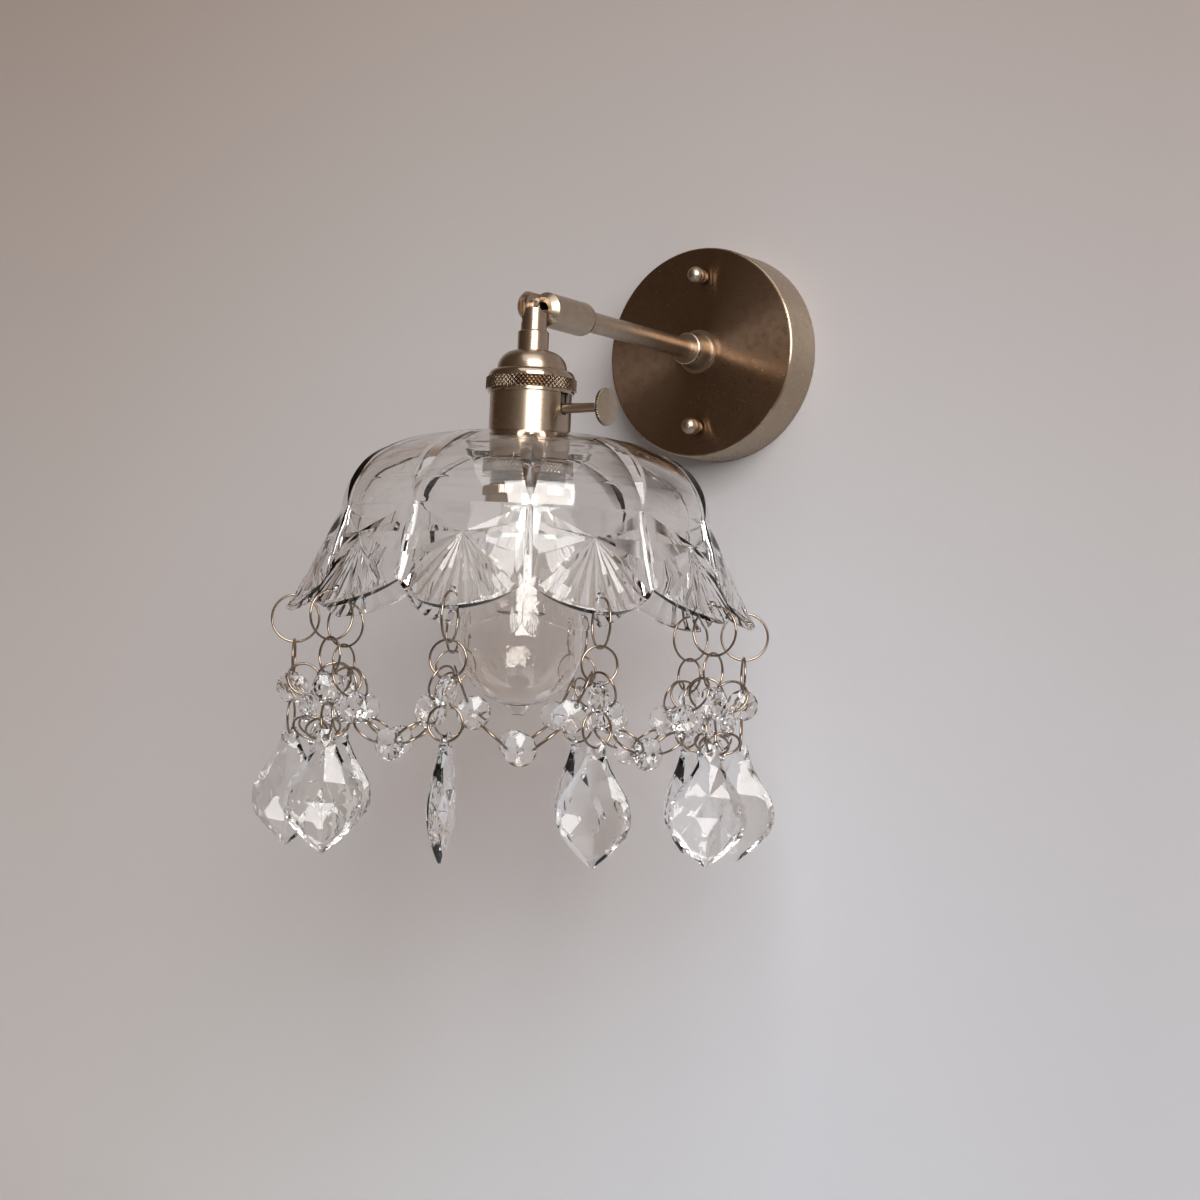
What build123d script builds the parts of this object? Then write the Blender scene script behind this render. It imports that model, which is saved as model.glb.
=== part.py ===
"""Crystal wall sconce: a brass arm on a round wall plate, an adjustable lampholder,
a scalloped pressed-glass shade and ten strands of crystal joined by garlands.

Frame: millimetres. The origin is on the wall, at the centre of the wall plate.
+X is to the right for someone who faces the wall, +Y goes into the wall, +Z is up.
"""

import math
import os

from build123d import *

# ---------------------------------------------------------------- driving sizes
# Fits and clearances
face_gap = 0.1  # between flat faces that slide on each other
fit_gap = 0.05  # radial, between a screw or a tube and its own hole
loose_gap = 0.3  # between a seated piece or a linked ring and what carries it
thread_gap = 0.45  # between a ring's wire and the edge of a bead's hole
pendant_gap = 0.75  # the same in a pendant's hole, where the pendant can swing
edge_break = 0.6  # chamfer on the turned pieces' free edges

# Wall plate, its bracket and fasteners
plate_radius = 60.0
plate_depth = 27.0
plate_wall = 1.2
plate_edge_radius = 1.6
bracket_length = 100.0
bracket_width = 20.0
bracket_thickness = 2.0
bracket_step = 5.0
bracket_step_place = 31.0
bracket_bend = 5.0
bracket_corner = 6.0
cable_hole_radius = 6.0
wall_slot_place = 20.0
wall_slot_length = 12.0
wall_slot_width = 4.6
stud_place = 43.0
stud_radius = 2.0
stud_head_radius = 4.0
stud_head_height = 2.8
stud_reach = 6.5
dome_nut_neck_radius = 3.4
dome_nut_neck_height = 2.2
dome_nut_ring_radius = 4.3
dome_nut_ring_height = 1.2
dome_nut_ball_radius = 4.9
pipe_thread_radius = 4.9
pipe_bore_radius = 3.6
nipple_tail = 7.0
nipple_insertion = 5.5
washer_radius = 10.0
washer_thickness = 1.0
lock_nut_across = 14.0
lock_nut_height = 3.0

# Arm
arm_reach = 192.0
tube_radius = 5.55
tube_wall = 1.0
collar_base_radius = 12.5
collar_base_height = 2.5
collar_body_radius = 10.6
collar_waist_radius = 8.2
collar_end_radius = 9.0
collar_end_height = 2.6
collar_length = 15.0
tube_insertion = 9.0

# Tilting knuckle between the arm and the lampholder
sleeve_radius = 9.0
sleeve_length = 40.0
sleeve_end_radius = 6.6
sleeve_end_taper = 5.0
sleeve_front_chamfer = 3.0
sleeve_socket_depth = 33.0
lug_face = 4.0  # the lap plane lies this far to -X of the pivot
lug_thickness = 3.0
lug_radius = 6.5
pivot_screw_radius = 2.0
pivot_head_radius = 3.3
pivot_head_height = 2.0
pivot_slot_width = 0.9
pivot_slot_depth = 0.9
pivot_slot_turn = 35.0

# Neck of the lampholder, measured down from the pivot
neck_upper_radius = 6.65
neck_lower_radius = 8.0
neck_shoulder = 1.5
neck_step = 12.7
neck_step_chamfer = 0.8
neck_length = 23.2
neck_tail = 7.5
wire_bore_radius = 2.4
wire_bore_offset = 2.9
neck_nut_height = 3.0

# Lampholder
cap_top_radius = 8.6
cap_dome_radius = 18.0
cap_dome_height = 10.0
cap_skirt_height = 8.0
cap_wall = 1.2
ring_shoulder_radius = 22.3
ring_knurl_radius = 23.5
ring_shoulder_height = 4.4
ring_top_land = 0.5
ring_knurl_height = 6.2
ring_lip_height = 1.6
shell_radius = 21.0
shell_wall = 1.0
shell_length = 38.0
key_slot_width = 6.6
key_drop = 15.2  # from the shell's upper edge to the key's axis
core_radius = 19.4
core_top_drop = 6.0
core_height = 20.0
contact_radius = 4.0
contact_height = 2.0
skirt_thread_radius = 19.6
skirt_wall = 2.4
skirt_length = 38.0
screw_shell_wall = 0.6
screw_shell_length = 26.0
stem_radius = 2.8
stem_tip_radius = 2.3
stem_groove_depth = 0.5
stem_groove_width = 1.2
stem_core_depth = 8.0
knob_radius = 9.6
knob_thickness = 2.4
knob_place = 45.0

# Rings that clamp the glass
upper_ring_radius = 23.5
upper_ring_height = 6.6
lower_ring_radius = 22.8
lower_ring_height = 5.0
lower_ring_lip_radius = 21.4
lower_ring_lip_height = 4.6
ring_spacing = 7.3

# Glass shade: radii from the socket's axis, depths down from the seat
petal_count = 10
glass_wall = 3.0
seat_radius = 28.0
well_radius = 33.0
well_height = 9.0
shoulder_radius = 74.0
shoulder_drop = 2.3
belt_radius = 94.2
belt_drop = 33.0
belt_overlap = 1.0  # the petals start this far above the dome's lower end
belt_ledge = 0.5  # and this far outside it
petal_length = 53.0  # from the belt down to the widest section
petal_notch_flare = 14.6  # growth in radius over that length, at the notches
petal_crest_flare = 27.2  # and at the petals' crests
rim_notch_drop = 38.2  # the rim's places are measured down from the belt
rim_hole_drop = 43.6
rim_tip_drop = 51.2
rim_hole_radius = 1.6
rib_width = 12.0
rib_height = 2.4

# Bulb
bulb_cap_radius = 13.2
bulb_cap_length = 27.0
bulb_cap_top_radius = 10.6
bulb_cap_cone_drop = 3.2
bulb_cap_shoulder_drop = 5.4
bulb_neck_radius = 13.0
bulb_radius = 32.0
bulb_length = 144.0
bulb_wall = 1.0
bulb_tip_radius = 7.5
bulb_tip_height = 5.5
bulb_stem_radius = 3.0
bulb_stem_length = 66.0
bulb_stem_root_radius = 4.2
bulb_stem_waist_radius = 1.5
filament_radius = 9.5
filament_wire = 0.5
filament_supports = 5

# Crystal strands and garlands
wire_radius = 0.5
hook_ring_radius = 12.0
link_ring_radius = 9.0
bead_ring_radius = 8.5
ring_sides = 12
bead_radius = 8.0
bead_thickness = 8.0
bead_table_radius = 4.4
bead_girdle = 2.2
bead_hole_radius = 1.5
bead_hole_place = 5.8
garland_hang_angle = 45.0
garland_setback = 4.3
pendant_length = 60.0
pendant_width = 38.0
pendant_thickness = 10.0
pendant_girdle = 2.4
pendant_hole_radius = 2.0
pendant_hole_drop = 4.0
pendant_table_share = 0.34
pendant_table_drop = 33.0

# Shares of the way from an arc's start to its end, across and down, where it is steered
cap_steer = (0.72, 0.32)
ring_steer = (0.75, 0.3)
collar_steer = (0.5, 0.33)
sleeve_steer = (0.67, 0.33)
dome_steer = (0.54, 0.32)
side_steer = (0.72, 0.41)
scallop_steer = (0.42, 0.66)

# Shares of the petal's length and of its flare at the notches and at the crests
flare_shares = (
    (0.283, 0.274, 0.272),
    (0.623, 0.603, 0.574),
    (0.811, 0.795, 0.779),
    (1.0, 1.0, 1.0),
)

# Turns about the vertical of a strand's bead, lower ring and pendant, strand by strand
strand_turns = (
    (0, 0, 0),
    (10, 18, 44),
    (8, 14, 34),
    (-4, -8, -20),
    (4, 8, 16),
    (0, -6, -18),
    (-4, -8, -24),
    (4, 8, 14),
    (-5, -8, -16),
    (-8, -14, -36),
)

os.makedirs("parts", exist_ok=True)


def save(piece, name):
    """Labels a finished piece and writes it under its node's name."""
    piece.label = name
    export_step(piece, f"parts/{name}.step")


def steered_arc(start, end, steer):
    """The arc between two points through a place between them, given by its shares."""
    middle = tuple(a + (b - a) * share for a, b, share in zip(start, end, steer))
    return ThreePointArc(start, middle, end)


# ------------------------------------------------------------- derived places
wall_face = Plane.XZ
socket_axis = Axis((0, -arm_reach, 0), (0, 0, 1))
socket_section = Plane(origin=(0, -arm_reach, 0), x_dir=(1, 0, 0), z_dir=(0, -1, 0))
socket_level = Plane(origin=(0, -arm_reach, 0))

cap_top = -neck_length
cap_dome_bottom = cap_top - cap_dome_height
ring_top = cap_dome_bottom
ring_knurl_top = ring_top - ring_shoulder_height
ring_knurl_bottom = ring_knurl_top - ring_knurl_height
ring_bottom = ring_knurl_bottom - ring_lip_height
shell_top = ring_knurl_top - cap_wall / 2
shell_bottom = shell_top - shell_length
key_height = shell_top - key_drop
core_top = shell_top - core_top_drop
core_bottom = core_top - core_height
glass_seat = shell_bottom
glass_under = glass_seat - glass_wall
upper_ring_top = glass_under - face_gap
upper_ring_bottom = upper_ring_top - upper_ring_height
lower_ring_top = upper_ring_bottom - ring_spacing
bulb_top = core_bottom - contact_height - loose_gap
bulb_cap_bottom = bulb_top - bulb_cap_length
bulb_bottom = bulb_top - bulb_length
petal_angle = 360 / petal_count
belt_height = glass_seat - belt_drop
rim_hole_height = belt_height - rim_hole_drop

# -------------------------------------------------------- wall plate and fixings
with BuildPart() as back_plate:
    with BuildSketch(wall_face):
        Circle(plate_radius)
    extrude(amount=plate_depth)
    front_face = back_plate.faces().sort_by(Axis.Y)[0]
    fillet(front_face.edges(), radius=plate_edge_radius)
    rear_face = back_plate.faces().sort_by(Axis.Y)[-1]
    offset(amount=-plate_wall, openings=rear_face)
    with BuildSketch(wall_face.offset(plate_depth)):
        Circle(pipe_thread_radius + loose_gap)
        with Locations((0, stud_place), (0, -stud_place)):
            Circle(stud_radius + loose_gap)
    extrude(amount=-2 * plate_wall, mode=Mode.SUBTRACT)
save(back_plate.part, "back_plate")

with BuildPart() as mounting_bracket:
    half_length = bracket_length / 2
    bend_end = bracket_step_place + bracket_bend
    with BuildSketch(Plane.YZ):
        with BuildLine():
            Polyline(
                (0, 0),
                (0, bracket_step_place),
                (-bracket_step, bend_end),
                (-bracket_step, half_length),
                (-bracket_step - bracket_thickness, half_length),
                (-bracket_step - bracket_thickness, bend_end),
                (-bracket_thickness, bracket_step_place),
                (-bracket_thickness, 0),
                close=True,
            )
        make_face()
        mirror(about=Plane.XZ)
    extrude(amount=bracket_width / 2, both=True)
    fillet(
        mounting_bracket.edges().filter_by(Axis.Y).group_by(Axis.Z)[0]
        + mounting_bracket.edges().filter_by(Axis.Y).group_by(Axis.Z)[-1],
        radius=bracket_corner,
    )
    with BuildSketch(wall_face):
        Circle(cable_hole_radius)
        with Locations((0, wall_slot_place), (0, -wall_slot_place)):
            SlotOverall(wall_slot_length, wall_slot_width, rotation=90)
        with Locations((0, stud_place), (0, -stud_place)):
            Circle(stud_radius + fit_gap)
    extrude(amount=bracket_step + bracket_thickness, mode=Mode.SUBTRACT)
save(mounting_bracket.part, "mounting_bracket")

with BuildPart() as bracket_studs:
    with BuildSketch(wall_face.offset(bracket_step - stud_head_height)):
        with Locations((0, stud_place), (0, -stud_place)):
            Circle(stud_head_radius)
    extrude(amount=stud_head_height)
    with BuildSketch(wall_face.offset(bracket_step)):
        with Locations((0, stud_place), (0, -stud_place)):
            Circle(stud_radius)
    extrude(amount=plate_depth + stud_reach - bracket_step)
save(bracket_studs.part, "bracket_studs")

with BuildPart() as dome_nuts:
    neck_end = -plate_depth - dome_nut_neck_height
    ring_end = neck_end - dome_nut_ring_height
    ball_drop = math.sqrt(dome_nut_ball_radius**2 - dome_nut_neck_radius**2)
    ball_centre = ring_end - ball_drop
    with BuildSketch(Plane.YZ):
        with BuildLine():
            Polyline(
                (ball_centre - dome_nut_ball_radius, 0),
                (-plate_depth, 0),
                (-plate_depth, dome_nut_neck_radius),
                (neck_end, dome_nut_neck_radius),
                (neck_end, dome_nut_ring_radius),
                (ring_end, dome_nut_ring_radius),
                (ring_end, dome_nut_neck_radius),
            )
            ThreePointArc(
                (ring_end, dome_nut_neck_radius),
                (ball_centre, dome_nut_ball_radius),
                (ball_centre - dome_nut_ball_radius, 0),
            )
        make_face()
    revolve(axis=Axis.Y)
    with BuildSketch(wall_face.offset(plate_depth)):
        Circle(stud_radius + fit_gap)
    extrude(amount=stud_reach + loose_gap, mode=Mode.SUBTRACT)
nut_pair = Compound(
    children=[Pos(0, 0, side * stud_place) * dome_nuts.part for side in (1, -1)]
)
save(nut_pair, "dome_nuts")

with BuildPart() as nipple:
    with BuildSketch(wall_face.offset(plate_depth - plate_wall - nipple_tail)):
        Circle(pipe_thread_radius)
        Circle(pipe_bore_radius, mode=Mode.SUBTRACT)
    extrude(amount=nipple_tail + plate_wall + nipple_insertion)
save(nipple.part, "nipple")

with BuildPart() as plate_washer:
    with BuildSketch(wall_face.offset(plate_depth - plate_wall - washer_thickness)):
        Circle(washer_radius)
        Circle(pipe_thread_radius + fit_gap, mode=Mode.SUBTRACT)
    extrude(amount=washer_thickness)
save(plate_washer.part, "plate_washer")

with BuildPart() as lock_nut:
    nut_face = plate_depth - plate_wall - washer_thickness - lock_nut_height
    with BuildSketch(wall_face.offset(nut_face)):
        RegularPolygon(lock_nut_across / 2, 6, major_radius=False)
        Circle(pipe_thread_radius + fit_gap, mode=Mode.SUBTRACT)
    extrude(amount=lock_nut_height)
save(lock_nut.part, "lock_nut")

# ------------------------------------------------------------------------ arm
with BuildPart() as arm_collar:
    base_end = -plate_depth - collar_base_height
    end_start = -plate_depth - collar_length + collar_end_height
    collar_end = -plate_depth - collar_length
    with BuildSketch(Plane.YZ):
        with BuildLine():
            Polyline(
                (end_start, collar_waist_radius),
                (end_start, collar_end_radius),
                (collar_end, collar_end_radius),
                (collar_end, 0),
                (-plate_depth, 0),
                (-plate_depth, collar_base_radius),
                (base_end, collar_base_radius),
                (base_end, collar_body_radius),
            )
            steered_arc(
                (base_end, collar_body_radius), (end_start, collar_waist_radius), collar_steer
            )
        make_face()
    revolve(axis=Axis.Y)
    with BuildSketch(wall_face.offset(plate_depth)):
        Circle(pipe_thread_radius + fit_gap)
    extrude(amount=collar_length - tube_insertion, mode=Mode.SUBTRACT)
    with BuildSketch(wall_face.offset(plate_depth + collar_length)):
        Circle(tube_radius + fit_gap)
    extrude(amount=-tube_insertion, mode=Mode.SUBTRACT)
    chamfer(
        arm_collar.edges().filter_by(GeomType.CIRCLE).group_by(Axis.Y)[0].sort_by(
            SortBy.RADIUS
        )[-1],
        length=edge_break,
    )
save(arm_collar.part, "arm_collar")

sleeve_front = neck_upper_radius + loose_gap  # from the pivot to the sleeve's open end
sleeve_back = sleeve_front + sleeve_length
tube_start = plate_depth + collar_length - tube_insertion
tube_end = arm_reach - sleeve_back + sleeve_socket_depth
with BuildPart() as arm_tube:
    with BuildSketch(wall_face.offset(tube_start)):
        Circle(tube_radius)
        Circle(tube_radius - tube_wall, mode=Mode.SUBTRACT)
    extrude(amount=tube_end - tube_start)
save(arm_tube.part, "arm_tube")

with BuildPart() as arm_knuckle:
    # The tongue: the rounded end of the sleeve, kept on the -X side of the lap plane.
    with BuildSketch(Plane.YZ):
        with BuildLine():
            Polyline(
                (-arm_reach, sleeve_radius),
                (-arm_reach + sleeve_front + sleeve_front_chamfer, sleeve_radius),
                (-arm_reach + sleeve_front + sleeve_front_chamfer, 0),
                (-arm_reach - sleeve_radius, 0),
            )
            RadiusArc(
                (-arm_reach - sleeve_radius, 0), (-arm_reach, sleeve_radius), sleeve_radius
            )
        make_face()
    revolve(axis=Axis.Y)
    split(bisect_by=Plane.YZ.offset(-lug_face), keep=Keep.BOTTOM)
    # The full sleeve behind the tongue, chamfered where it faces the lug.
    with BuildSketch(Plane.YZ):
        with BuildLine():
            front = -arm_reach + sleeve_front
            back = -arm_reach + sleeve_back
            Polyline(
                (back, sleeve_end_radius),
                (back, 0),
                (front, 0),
                (front, sleeve_radius - sleeve_front_chamfer),
                (front + sleeve_front_chamfer, sleeve_radius),
                (back - sleeve_end_taper, sleeve_radius),
            )
            steered_arc(
                (back - sleeve_end_taper, sleeve_radius), (back, sleeve_end_radius), sleeve_steer
            )
        make_face()
    revolve(axis=Axis.Y)
    with BuildSketch(wall_face.offset(arm_reach - sleeve_back)):
        Circle(tube_radius + fit_gap)
    extrude(amount=sleeve_socket_depth + face_gap, mode=Mode.SUBTRACT)
    with BuildSketch(wall_face.offset(arm_reach - sleeve_front)):
        Circle(pipe_bore_radius)
    extrude(amount=-sleeve_length, mode=Mode.SUBTRACT)
    with BuildSketch(Plane.YZ.offset(-lug_face)):
        with Locations((-arm_reach, 0)):
            Circle(pivot_screw_radius + fit_gap)
    extrude(amount=-sleeve_radius, mode=Mode.SUBTRACT)
save(arm_knuckle.part, "arm_knuckle")

lug_front = -lug_face + face_gap + lug_thickness
with BuildPart() as pivot_screw:
    with BuildSketch(Plane.YZ.offset(lug_front)):
        with Locations((-arm_reach, 0)):
            Circle(pivot_screw_radius)
    extrude(amount=-(lug_thickness + face_gap + sleeve_radius - lug_face - loose_gap))
    with BuildSketch(Plane.YZ.offset(lug_front + face_gap)):
        with Locations((-arm_reach, 0)):
            Circle(pivot_head_radius)
    extrude(amount=pivot_head_height)
    fillet(
        pivot_screw.edges().filter_by(GeomType.CIRCLE).sort_by(Axis.X)[-1],
        radius=pivot_head_height * 0.4,
    )
    with BuildSketch(Plane.YZ.offset(lug_front)):
        with Locations((-arm_reach, 0)):
            Circle(pivot_screw_radius)
    extrude(amount=face_gap)
    with BuildSketch(Plane.YZ.offset(lug_front + face_gap + pivot_head_height)):
        with Locations((-arm_reach, 0)):
            Rectangle(2 * pivot_head_radius, pivot_slot_width, rotation=pivot_slot_turn)
    extrude(amount=-pivot_slot_depth, mode=Mode.SUBTRACT)
save(pivot_screw.part, "pivot_screw")

# ----------------------------------------------------------------- lampholder
with BuildPart() as neck:
    with BuildSketch(socket_level.offset(-neck_length)):
        Circle(neck_upper_radius)
    extrude(amount=neck_length + lug_radius)
    # Lap the top: the tongue's room on the -X side, the screw's room on the +X side.
    tongue_drop = math.sqrt(sleeve_radius**2 - lug_face**2)
    lug_half = math.sqrt(neck_upper_radius**2 - lug_face**2)
    with BuildSketch(Plane.YZ.offset(-lug_face + face_gap)):
        with Locations((-arm_reach, 0)):
            Circle(math.hypot(tongue_drop, lug_half) + loose_gap)
    extrude(amount=-neck_upper_radius, mode=Mode.SUBTRACT)
    with BuildSketch(socket_level.offset(-neck_shoulder)):
        with Locations((lug_front + neck_lower_radius, 0)):
            Rectangle(2 * neck_lower_radius, 4 * neck_lower_radius)
    extrude(amount=neck_length, mode=Mode.SUBTRACT)
    with BuildSketch(Plane.YZ.offset(lug_front)):
        with Locations((-arm_reach, 0)):
            Circle(pivot_head_radius + loose_gap)
    extrude(amount=neck_upper_radius * 2, mode=Mode.SUBTRACT)
    # Round the lug about the pivot.
    with BuildSketch(Plane.YZ.offset(-sleeve_radius)):
        with Locations((-arm_reach, lug_radius)):
            Rectangle(4 * lug_radius, 2 * lug_radius)
        with Locations((-arm_reach, 0)):
            Circle(lug_radius, mode=Mode.SUBTRACT)
    extrude(amount=2 * sleeve_radius, mode=Mode.SUBTRACT)
    with BuildSketch(Plane.YZ.offset(-lug_face)):
        with Locations((-arm_reach, 0)):
            Circle(pivot_screw_radius + fit_gap)
    extrude(amount=2 * lug_face, mode=Mode.SUBTRACT)
    # The thicker lower part, the threaded tail and the wire's way.
    with BuildSketch(socket_section):
        with BuildLine():
            Polyline(
                (0, -neck_step),
                (neck_lower_radius - neck_step_chamfer, -neck_step),
                (neck_lower_radius, -neck_step - neck_step_chamfer),
                (neck_lower_radius, -neck_length),
                (pipe_thread_radius, -neck_length),
                (pipe_thread_radius, -neck_length - neck_tail),
                (0, -neck_length - neck_tail),
                close=True,
            )
        make_face()
    revolve(axis=socket_axis)
    with BuildSketch(socket_level.offset(-neck_length - neck_tail)):
        Circle(pipe_bore_radius)
    extrude(amount=neck_length + neck_tail - neck_step, mode=Mode.SUBTRACT)
    with BuildSketch(socket_level.offset(-neck_step - wire_bore_radius)):
        with Locations((wire_bore_offset, 0)):
            Circle(wire_bore_radius)
    extrude(amount=neck_step, mode=Mode.SUBTRACT)
save(neck.part, "neck")

with BuildPart() as neck_nut:
    with BuildSketch(socket_level.offset(cap_top - cap_wall - neck_nut_height)):
        RegularPolygon(lock_nut_across / 2, 6, major_radius=False)
        Circle(pipe_thread_radius + fit_gap, mode=Mode.SUBTRACT)
    extrude(amount=neck_nut_height)
save(neck_nut.part, "neck_nut")

with BuildPart() as socket_cap:
    cap_bottom = cap_dome_bottom - cap_skirt_height
    with BuildSketch(socket_section):
        with BuildLine():
            dome = steered_arc(
                (cap_top_radius, cap_top), (cap_dome_radius, cap_dome_bottom), cap_steer
            )
            Polyline(
                dome @ 1,
                (cap_dome_radius, cap_bottom),
                (0, cap_bottom),
                (0, cap_top),
                dome @ 0,
            )
        make_face()
    revolve(axis=socket_axis)
    cap_mouth = socket_cap.faces().sort_by(Axis.Z)[0]
    offset(amount=-cap_wall, openings=cap_mouth)
    with BuildSketch(socket_level.offset(cap_top)):
        Circle(pipe_thread_radius + fit_gap)
    extrude(amount=-2 * cap_wall, mode=Mode.SUBTRACT)
save(socket_cap.part, "socket_cap")

with BuildPart() as cap_ring:
    cap_bore = cap_dome_radius + face_gap
    with BuildSketch(socket_section):
        with BuildLine():
            shoulder = steered_arc(
                (cap_bore + ring_top_land, ring_top),
                (ring_shoulder_radius, ring_knurl_top),
                ring_steer,
            )
            Polyline(
                shoulder @ 1,
                (ring_knurl_radius, ring_knurl_top),
                (ring_knurl_radius, ring_knurl_bottom),
                (ring_shoulder_radius, ring_knurl_bottom),
                (ring_shoulder_radius, ring_bottom),
                (shell_radius + fit_gap, ring_bottom),
                (shell_radius + fit_gap, shell_top + fit_gap),
                (cap_bore, shell_top + fit_gap),
                (cap_bore, ring_top),
                shoulder @ 0,
            )
        make_face()
    revolve(axis=socket_axis)
save(cap_ring.part, "cap_ring")

key_plane = Plane(origin=(0, -arm_reach, key_height), x_dir=(0, 1, 0), z_dir=(1, 0, 0))
with BuildPart() as socket_shell:
    with BuildSketch(socket_level.offset(shell_top)):
        Circle(shell_radius)
        Circle(shell_radius - shell_wall, mode=Mode.SUBTRACT)
    extrude(amount=-shell_length)
    # The key's slot is open at the shell's upper edge, under the cap ring.
    with BuildSketch(key_plane):
        Circle(key_slot_width / 2)
        with Locations((0, key_drop / 2)):
            Rectangle(key_slot_width, key_drop)
    extrude(amount=2 * shell_radius, mode=Mode.SUBTRACT)
save(socket_shell.part, "socket_shell")

with BuildPart() as socket_core:
    with BuildSketch(socket_level.offset(core_top)):
        Circle(core_radius)
    extrude(amount=-core_height)
    with BuildSketch(key_plane.offset(stem_core_depth)):
        Circle(stem_radius + fit_gap)
    extrude(amount=2 * core_radius, mode=Mode.SUBTRACT)
    with BuildSketch(socket_level.offset(core_top)):
        with Locations((0, core_radius / 2), (0, -core_radius / 2)):
            Circle(wire_bore_radius)
    extrude(amount=-core_height, mode=Mode.SUBTRACT)
save(socket_core.part, "socket_core")

with BuildPart() as centre_contact:
    with BuildSketch(socket_level.offset(core_bottom)):
        Circle(contact_radius)
    extrude(amount=-contact_height)
    fillet(centre_contact.faces().sort_by(Axis.Z)[0].edges(), radius=contact_height / 2)
save(centre_contact.part, "centre_contact")

screw_shell_radius = bulb_cap_radius + loose_gap
with BuildPart() as screw_shell:
    with BuildSketch(socket_level.offset(core_bottom)):
        Circle(screw_shell_radius + screw_shell_wall)
        Circle(screw_shell_radius, mode=Mode.SUBTRACT)
    extrude(amount=-screw_shell_length)
save(screw_shell.part, "screw_shell")

with BuildPart() as threaded_skirt:
    with BuildSketch(socket_level.offset(core_bottom)):
        Circle(skirt_thread_radius)
        Circle(skirt_thread_radius - skirt_wall, mode=Mode.SUBTRACT)
    extrude(amount=-skirt_length)
save(threaded_skirt.part, "threaded_skirt")

with BuildPart() as switch_stem:
    with BuildSketch(key_plane.offset(stem_core_depth)):
        Circle(stem_radius)
    with BuildSketch(key_plane.offset(knob_place)):
        Circle(stem_tip_radius)
    loft()
    groove_place = knob_place - 3 * stem_groove_width
    with BuildSketch(key_plane.offset(groove_place)):
        Circle(stem_radius)
        Circle(stem_tip_radius - stem_groove_depth / 2, mode=Mode.SUBTRACT)
    extrude(amount=stem_groove_width, mode=Mode.SUBTRACT)
save(switch_stem.part, "switch_stem")

with BuildPart() as switch_knob:
    with BuildSketch(key_plane.offset(knob_place)):
        Circle(knob_radius)
    extrude(amount=knob_thickness)
    chamfer(switch_knob.edges().filter_by(GeomType.CIRCLE), length=knob_thickness / 6)
save(switch_knob.part, "switch_knob")

# ---------------------------------------------------------- rings and the glass
ring_bore = skirt_thread_radius + face_gap
with BuildPart() as shade_ring_upper:
    with BuildSketch(socket_level.offset(upper_ring_top)):
        Circle(upper_ring_radius)
        Circle(ring_bore, mode=Mode.SUBTRACT)
    extrude(amount=-upper_ring_height)
    chamfer(
        shade_ring_upper.edges()
        .filter_by(GeomType.CIRCLE)
        .filter_by(lambda edge: edge.radius > ring_bore + 1),
        length=edge_break,
    )
save(shade_ring_upper.part, "shade_ring_upper")

with BuildPart() as shade_ring_lower:
    with BuildSketch(socket_level.offset(lower_ring_top)):
        Circle(lower_ring_radius)
    extrude(amount=-lower_ring_height)
    with BuildSketch(socket_level.offset(lower_ring_top - lower_ring_height)):
        Circle(lower_ring_lip_radius)
    extrude(amount=-lower_ring_lip_height)
    with BuildSketch(socket_level.offset(lower_ring_top)):
        Circle(ring_bore)
    extrude(
        amount=-(lower_ring_height + lower_ring_lip_height), mode=Mode.SUBTRACT
    )
save(shade_ring_lower.part, "shade_ring_lower")


petal_sections = [  # height, radius at the notches and radius at the crests
    (belt_height + belt_overlap, belt_radius + belt_ledge, belt_radius + 2 * belt_ledge)
]
for length_share, notch_share, crest_share in flare_shares:
    petal_sections.append(
        (
            belt_height - petal_length * length_share,
            belt_radius + petal_notch_flare * notch_share,
            belt_radius + petal_crest_flare * crest_share,
        )
    )
widest_radius = petal_sections[-1][2]


def petal_section(notch_radius, crest_radius):
    """One closed outline of the scalloped wall: an arc for each petal."""
    half = math.radians(petal_angle / 2)
    for index in range(petal_count):
        middle = 2 * half * (index + 0.5) - math.pi / 2
        start, end = middle - half, middle + half
        ThreePointArc(
            (notch_radius * math.cos(start), notch_radius * math.sin(start)),
            (crest_radius * math.cos(middle), crest_radius * math.sin(middle)),
            (notch_radius * math.cos(end), notch_radius * math.sin(end)),
        )


def flared_wall(inset):
    """Solid inside the scalloped wall, drawn in by the given amount."""
    with BuildPart() as wall:
        for height, notch_radius, crest_radius in petal_sections:
            with BuildSketch(socket_level.offset(height)):
                with BuildLine():
                    petal_section(notch_radius - inset, crest_radius - inset)
                make_face()
        loft(ruled=True)
    return wall.part


with BuildPart() as rim_cutter:
    # The gap between two neighbouring scallops, seen from outside at a notch.
    crest_offset = widest_radius * math.sin(math.radians(petal_angle / 2))
    rim_notch = belt_height - rim_notch_drop
    rim_tip = belt_height - rim_tip_drop
    with BuildSketch(socket_section):
        with BuildLine():
            scallop = steered_arc((0, rim_notch), (crest_offset, rim_tip), scallop_steer)
            Polyline(
                scallop @ 1,
                (crest_offset, rim_tip - glass_wall),
                (0, rim_tip - glass_wall),
            )
            mirror(about=Plane.YZ)
        make_face()
    extrude(amount=widest_radius + glass_wall)

with BuildPart() as rim_hole:
    with BuildSketch(socket_section.offset(belt_radius)):
        with Locations((0, rim_hole_height)):
            Circle(rim_hole_radius)
    extrude(amount=widest_radius - belt_radius)

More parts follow.
